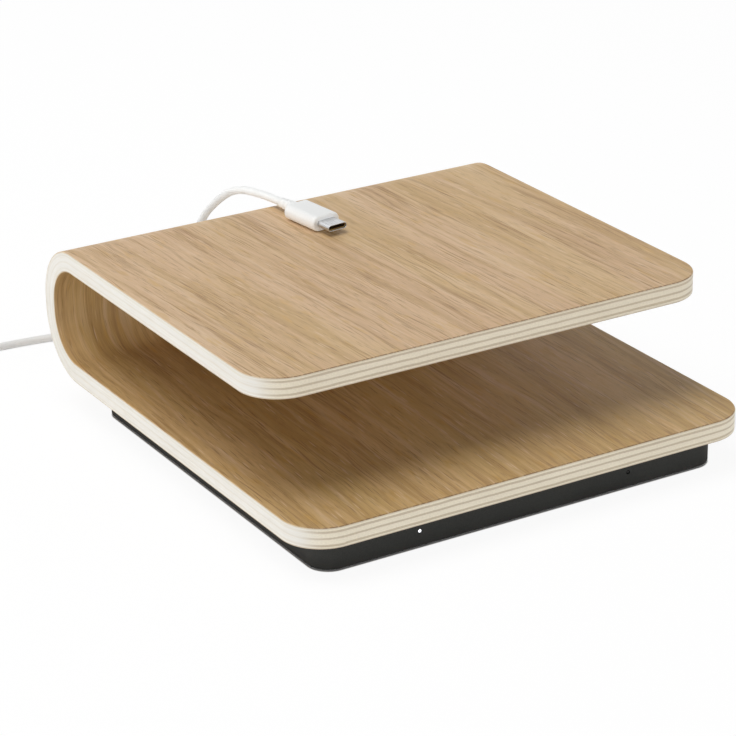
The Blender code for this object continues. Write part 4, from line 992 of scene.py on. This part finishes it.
def trayBody():
    # The outline carried from the underside up the outer wall, over the rim and down to the floor inside.
    low, high, wall = tray["bottomZ"], tray["topZ"], tray["wall"]
    soft, rim, fillet = tray["bottomRound"], tray["rimRound"], tray["floorFillet"]
    floor, near = low + wall, shell["support"]
    profile = [
        (soft + near, low), arc(soft, low + soft, soft, -90, -180, steps=8),
        arc(rim, high - rim, rim, 180, 90, steps=4), arc(wall - rim, high - rim, rim, 90, 0, steps=4),
        arc(wall + fillet, floor + fillet, fillet, 180, 270, steps=4), (wall + fillet + near, floor),
    ]
    outline = roundedOutline(tray["width"], tray["backY"] - tray["frontY"], tray["corner"], cornerSteps=20)
    body = carried(outline, tray["corner"], profile)
    return meshAt("baseTray", body, 0, (tray["backY"] + tray["frontY"]) / 2, 0)


def makeTray():
    # The walls and floor come first, then what stands on the floor is joined, and then the holes are cut.
    piece = addPiece("baseTray", trayBody(), "blackTray", "charger", ["base_tray"])
    low, high, wall, past = tray["bottomZ"], tray["topZ"], tray["wall"], tray["overrun"]
    sunk = low + wall / 2
    joined, cuts = [], []
    for x, y in footPlaces().values():
        joined.append(rodMesh("boss", x, y, tray["boss"], sunk, high - tray["bossGap"]))
        cuts.append(rodMesh("foot", x, y, tray["footHole"], low - past, low + tray["footRecess"], steps=16))
        cuts.append(rodMesh("head", x, y, tray["headHole"], low, tray["headTop"]))
        cuts.append(rodMesh("shank", x, y, tray["shankHole"], low, high + past, steps=6))
    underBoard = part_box("main_board")[0][2] - tray["restGap"]
    for end in ("front", "rear"):
        for side in ("left", "right"):
            start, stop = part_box(f"board_screw_{end}_{side}")
            x, y = (start[0] + stop[0]) / 2, (start[1] + stop[1]) / 2
            bottom = start[2] - tray["threadGap"]
            joined.append(rodMesh("stand", x, y, tray["standRadius"], sunk, underBoard, steps=6))
            cuts.append(rodMesh("thread", x, y, tray["threadRadius"], bottom, stop[2] + past, steps=4))
    boardFront, boardBack = (corner[1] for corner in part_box("light_board"))
    for x in (-tray["postX"], tray["postX"]):
        for y in (boardFront - tray["postGap"], boardBack + tray["postGap"]):
            joined.append(boxMesh("post", tray["post"], (x, y, sunk + tray["post"][2] / 2)))
    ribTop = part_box("foam_pad_left")[0][2] - tray["restGap"]
    hole, (wide, tall) = tray["lightHole"], tray["window"]
    for sign in (-1, 1):
        coilX, portX = sign * coilPitch / 2, sign * tray["portX"]
        joined.append(rodMesh("rib", coilX, 0, tray["ribRadius"], sunk, ribTop,
                              steps=16, wall=tray["ribWall"]))
        cuts.append(boxMesh("light", (2 * hole, 2 * hole, 4 * wall), (coilX, tray["frontY"], tray["lightZ"]),
                            radius=hole * tray["lightRound"], axes="xzy"))
        cuts.append(boxMesh("window", (wide, tall, 4 * wall), (portX, tray["backY"], tray["portZ"]),
                            radius=tall * tray["windowRound"], axes="xzy"))
    applyCuts(piece, "UNION", joined)
    applyCuts(piece, "DIFFERENCE", cuts)


foot = {
    "radius": 7.0 * mm, "rim": 0.4 * mm, "topZ": 1.4 * mm, "topRound": 0.15 * mm, "rimSupport": 0.3 * mm,
    "dish": ((4.0, 0.12), (3.3, 0.09), (2.5, 0.025), (1.8, 0.0)),    # mm in from the side, and up
}


def makeFeet():    # rubber discs with a soft rim, a slight dish underneath
    rim, soft = foot["rim"], foot["topRound"]
    profile = [np.array(foot["dish"]) * mm, (rim + foot["rimSupport"], 0), arc(rim, rim, rim, -90, -180),
               arc(soft, foot["topZ"] - soft, soft, 180, 90, steps=3)]
    for (end, side), (x, y) in footPlaces().items():
        mesh = meshAt("foot", disc(foot["radius"], profile, steps=16), x, y, 0)
        addPiece(f"rubberFoot{end}{side}", mesh, "blackRubber", "charger",
                 [f"rubber_foot_{end.lower()}_{side.lower()}"])


guide = {
    "tip": 0.6 * mm, "domeShare": 0.5, "collar": 1.6 * mm,
    "stemEnd": 2.05 * mm, "collarFront": 2.1 * mm, "collarBack": 3.25 * mm,    # behind the wall's outer face
}


def makeLights():    # clear guides with a domed tip, flush with the front wall
    tip, collar = guide["tip"], guide["tip"] - guide["collar"]
    dome = arc(tip, tip, tip, -90, -180, steps=6) * (1, guide["domeShare"])
    profile = [dome, (0, guide["stemEnd"]), (collar, guide["collarFront"]), (collar, guide["collarBack"])]
    for side, x, look in (("Left", -coilPitch / 2, "guideLit"), ("Right", coilPitch / 2, "guideDark")):
        mesh = meshAt("guide", disc(tip, profile, steps=8, axes="xzy"), x, tray["frontY"], tray["lightZ"])
        addPiece(f"lightGuide{side}", mesh, look, "charger", [f"light_guide_{side.lower()}"])


makeTray()
makeFeet()
makeLights()
print("base made")


# Plugs and sockets

plug = {
    "shell": (8.2 * mm, 2.4 * mm), "shellLength": 6.6 * mm, "shellWall": 0.3 * mm,
    "roundShare": 0.47,                 # corners of every flat-sided piece, as a share of its height
    "lining": 0.3 * mm, "liningGap": 0.02 * mm, "liningSetBack": 0.8 * mm, "liningBack": 0.76 * mm,
    "liningLip": (0.1 * mm, 0.3 * mm),
    "grip": (11.6 * mm, 5.8 * mm), "gripLength": 18.0 * mm, "gripRound": 0.7 * mm, "fineGap": 0.1 * mm,
    "support": 0.3 * mm,
    "reliefLength": 9.0 * mm, "reliefStart": 2.5 * mm, "reliefEnd": 1.9 * mm, "reliefSteps": 72,
    "grooves": 3, "plainShare": 0.5,    # of a groove's length, before the first
    "grooveDepth": 0.3 * mm,
}
socket = {"outer": (9.2 * mm, 3.4 * mm), "wall": 0.3 * mm, "mouthY": 68.55 * mm, "length": 7.6 * mm}


def flatSided(size, profile, steps=10, capped=(True, True)):    # carried along Y, its ends almost half round
    radius = plug["roundShare"] * size[1]
    return carried(roundedOutline(*size, radius, steps), radius, profile, "xzy", capped)


def steelTube(outer, wall, front, back, closedAt=None):
    # A flat-sided tube with rolled front edge, and with a floor inside where closedAt says.
    lip = wall / 2
    profile = [(0, back), arc(lip, front + lip, lip, 180, 360, steps=8)]
    if closedAt is None:
        return flatSided(outer, [*profile, (wall, back), (0, back)], capped=(False, False))
    return flatSided(outer, [*profile, (wall, closedAt)])


def gripBody():    # a flattened round bar with soft ends
    soft, length, near = plug["gripRound"], plug["gripLength"], plug["support"]
    profile = [(soft + near, 0), arc(soft, soft, soft, -90, -180, steps=6), (0, length / 2),
               arc(soft, length - soft, soft, 180, 90, steps=6), (soft + near, length)]
    return flatSided(plug["grip"], profile, steps=14)


def reliefBody():
    # A tapering sleeve. Each groove takes a squared, raised cosine off the radius.
    grooves, plain = plug["grooves"], plug["plainShare"]
    share = np.linspace(0, 1, plug["reliefSteps"] + 1)
    turns = share * (grooves + plain) - plain
    groove = np.where((turns > 0) & (turns < grooves), 0.5 - 0.5 * np.cos(2 * math.pi * turns), 0) ** 2
    inset = share * (plug["reliefStart"] - plug["reliefEnd"]) + plug["grooveDepth"] * groove
    along = plug["gripLength"] + plug["fineGap"] + share * plug["reliefLength"]
    return disc(plug["reliefStart"], [np.stack([inset, along], axis=1)], steps=8, axes="xzy")


def contactLining(front, back):    # a resin lining in the mouth, open in the middle for a socket's tongue
    start = plug["shellWall"] + plug["liningGap"]
    end = start + plug["lining"]
    across, along = plug["liningLip"]
    profile = [(start, back), (start, front), (end - across, front), (end, front + along), (end, back),
               (start, back)]
    return flatSided(plug["shell"], profile, capped=(False, False))


def makePlug(prefix, place, body, nodes):
    # Its grip starts at the place's origin: steel to the front, cord to the back.
    back = -plug["fineGap"]
    front = back - plug["shellLength"]
    tube = steelTube(plug["shell"], plug["shellWall"], front, back, back - 2 * plug["shellWall"])
    lining = contactLining(front + plug["liningSetBack"], -plug["liningBack"])
    shapes = (
        ("Shell", tube, "plugSteel", "steel", [nodes + "_shell"]),
        ("Grip", gripBody(), "whiteGrip", "white_sleeve", [nodes + "_grip"]),
        ("Relief", reliefBody(), "whiteGrip", "white_sleeve", [nodes + "_relief"]),
        ("Contacts", lining, "plugContacts", "chip_resin", []),
    )
    made = []
    for part, surface, material, slot, replaced in shapes:
        mesh = buildMesh(prefix + part, [moved(surface, place)])
        made.append(addPiece(prefix + part, mesh, material, body, replaced))
    return made


def makePlugs():
    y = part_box("power_plug_grip")[0][1]
    inPlace, outPlace = (Matrix.Translation((sign * tray["portX"], y, tray["portZ"])) for sign in (-1, 1))
    endPlace = Matrix.Translation((powerEnd[0], powerEnd[1] - gripToCord, powerEnd[2]))
    tipFace = np.array(deviceLead["tip"]) * mm + towardsTip * gripToCord
    tipPlace = Matrix.Translation(tipFace) @ Matrix.Rotation(math.radians(deviceLead["tipYaw"]), 4, "Z")
    powerPieces = makePlug("powerPlug", inPlace, "power_lead", "power_plug")
    devicePieces = makePlug("devicePlug", outPlace, "device_lead", "device_plug")
    powerPieces += makePlug("powerEnd", endPlace, "power_lead", "power_end")
    devicePieces += makePlug("deviceTip", tipPlace, "device_lead", "device_tip")


def makeSockets():
    front = -socket["mouthY"]
    for side, sign in (("input", -1), ("output", 1)):
        tube = steelTube(socket["outer"], socket["wall"], front, front + socket["length"])
        turn = Matrix.Translation((sign * tray["portX"], 0, tray["portZ"])) @ Matrix.Rotation(math.pi, 4, "Z")
        mesh = buildMesh(side + "Socket", [moved(tube, turn)])
        addPiece(side + "SocketShell", mesh, "plugSteel", "charger", [f"usb_{side}_socket"])


makePlugs()
makeSockets()
print("plugs and sockets made")


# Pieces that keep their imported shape, with better finishes

keptFinish = {
    "case_screw": "screwSteel", "board_screw": "screwSteel", "main_board": "board", "light_board": "board",
    "usb_input_tongue": "chipResin", "usb_output_tongue": "chipResin", "charge_controller": "chipResin",
    "coil_driver": "chipResin", "resonant_capacitor": "capacitorFilm", "status_led": "ledResin",
    "light_ribbon_cable": "ribbon", "charging_coil_left": "copperLeft", "charging_coil_right": "copperRight",
    "ferrite_shield": "ferriteGrey", "foam_pad": "foamGrey", "coil_leads": "copperTwist",
}


def dressNodes():
    for name, node in frame["nodes"].items():
        for start, look in keptFinish.items():
            if name.startswith(start) and not node.hide_render:
                node.data.materials.clear()
                node.data.materials.append(finish[look])


dressNodes()
print("inner pieces dressed")


# Floor, background and light

studio = {
    "level": 0.12,               # light from every way
    "horizon": 2.68,             # more from low down, most of it from the sides
    "horizonFront": 0.66,        # share of that from straight ahead or behind
    "lowStep": (0.08, 0.42), "sideStep": (0.2, 0.9),
    "floor": 0.92, "floorHalf": 5.0,
    "paper": 1.03, "paperShare": 0.90,                  # what the camera sees of the floor
    "clearEdge": 0.3 * mm,                              # the paper starts within this of the base's outline
    "under": (-6.0 * mm, -2.0 * mm, (0.45, 0.0)),       # the floor's light on the base's underside
    "softBox": {"way": (-0.26, 0.12, 0.95), "distance": 1.5, "size": 1.1, "power": 13.0},
}


def makeWorld():
    world = bpy.data.worlds.new("studio")
    scene.world = world
    world.use_nodes = True
    tree = world.node_tree
    path = addNode(tree, "LightPath").outputs
    seen = maths(tree, "MAXIMUM", path["Is Glossy Ray"], path["Is Transmission Ray"])
    seen = maths(tree, "MAXIMUM", path["Is Camera Ray"], seen)
    way = parts(tree, addNode(tree, "TexCoord").outputs["Generated"])
    upwards, sideways = (maths(tree, "ABSOLUTE", way[axis]) for axis in ("Z", "X"))
    low = softStep(tree, upwards, *studio["lowStep"], (1.0, 0.0))
    sides = softStep(tree, sideways, *studio["sideStep"], (studio["horizonFront"], 1.0))
    light = plus(tree, times(tree, low, sides, studio["horizon"]), studio["level"])
    back = tree.nodes["Background"].inputs
    setShader(tree, back, Color=(1, 1, 1, 1), Strength=softStep(tree, seen, 0.0, 1.0, (light, 1.0)))


def pastBase(tree):    # how far a place lies outside the base's rounded outline, and below 0 inside it
    place, corner = parts(tree, objectPlace(tree)), tray["corner"]
    half, past = tray["width"] / 2, []
    for axis, low, high in (("X", -half, half), ("Y", tray["frontY"], tray["backY"])):
        fromMiddle = maths(tree, "ABSOLUTE", minus(tree, place[axis], (low + high) / 2))
        past.append(maths(tree, "MAXIMUM", minus(tree, fromMiddle, (high - low) / 2 - corner), 0.0))
    reach = addNode(tree, "VectorMath", {0: vector(tree, *past)}, operation="LENGTH").outputs["Value"]
    return minus(tree, reach, corner)


def makeFloor():
    # White paper with the charger's shadow. Under the base the camera sees no glow, so that the base's lower
    # edge shows dark, and the glow there lights the underside instead. From below the paper isn't seen.
    material, tree = startMaterial("floorPaper", Roughness=1.0, Specular_IOR_Level=0.0,
                                   Base_Color=(studio["floor"],) * 3 + (1.0,))[:2]
    paper = tree.nodes["Principled BSDF"].outputs[0]
    glow = addNode(tree, "Emission", {"Color": (1, 1, 1, 1), "Strength": studio["paper"]}).outputs[0]
    camera = addNode(tree, "LightPath").outputs["Is Camera Ray"]
    past = pastBase(tree)
    clear = softStep(tree, past, -studio["clearEdge"], studio["clearEdge"])
    under = softStep(tree, past, *studio["under"])
    share = plus(tree, times(tree, camera, clear, studio["paperShare"]),
                 times(tree, minus(tree, 1.0, camera), under))
    both = addNode(tree, "MixShader", {0: share, 1: paper, 2: glow}).outputs[0]
    nothing = addNode(tree, "BsdfTransparent").outputs[0]
    behind = addNode(tree, "NewGeometry").outputs["Backfacing"]
    sided = addNode(tree, "MixShader", {0: behind, 1: both, 2: nothing}).outputs[0]
    tree.links.new(sided, tree.nodes["Material Output"].inputs["Surface"])
    material.cycles.emission_sampling = "NONE"

    corners = np.array(((-1, -1, 0), (1, -1, 0), (1, 1, 0), (-1, 1, 0))) * studio["floorHalf"]
    mesh = bpy.data.meshes.new("floor")
    mesh.from_pydata(corners.tolist(), [], [(0, 1, 2, 3)])
    mesh.materials.append(material)
    addObject("floor", mesh)


def makeSoftBox(box):
    way = np.array(box["way"]) / np.linalg.norm(box["way"])
    lamp = bpy.data.lights.new("softBox", "AREA")
    lamp.shape, lamp.size, lamp.energy = "DISK", box["size"], box["power"]
    addObject("softBox", lamp).matrix_world = facing(way, way * box["distance"])


makeWorld()
makeFloor()
makeSoftBox(studio["softBox"])
scene.view_settings.view_transform = "Standard"
print("studio lit")
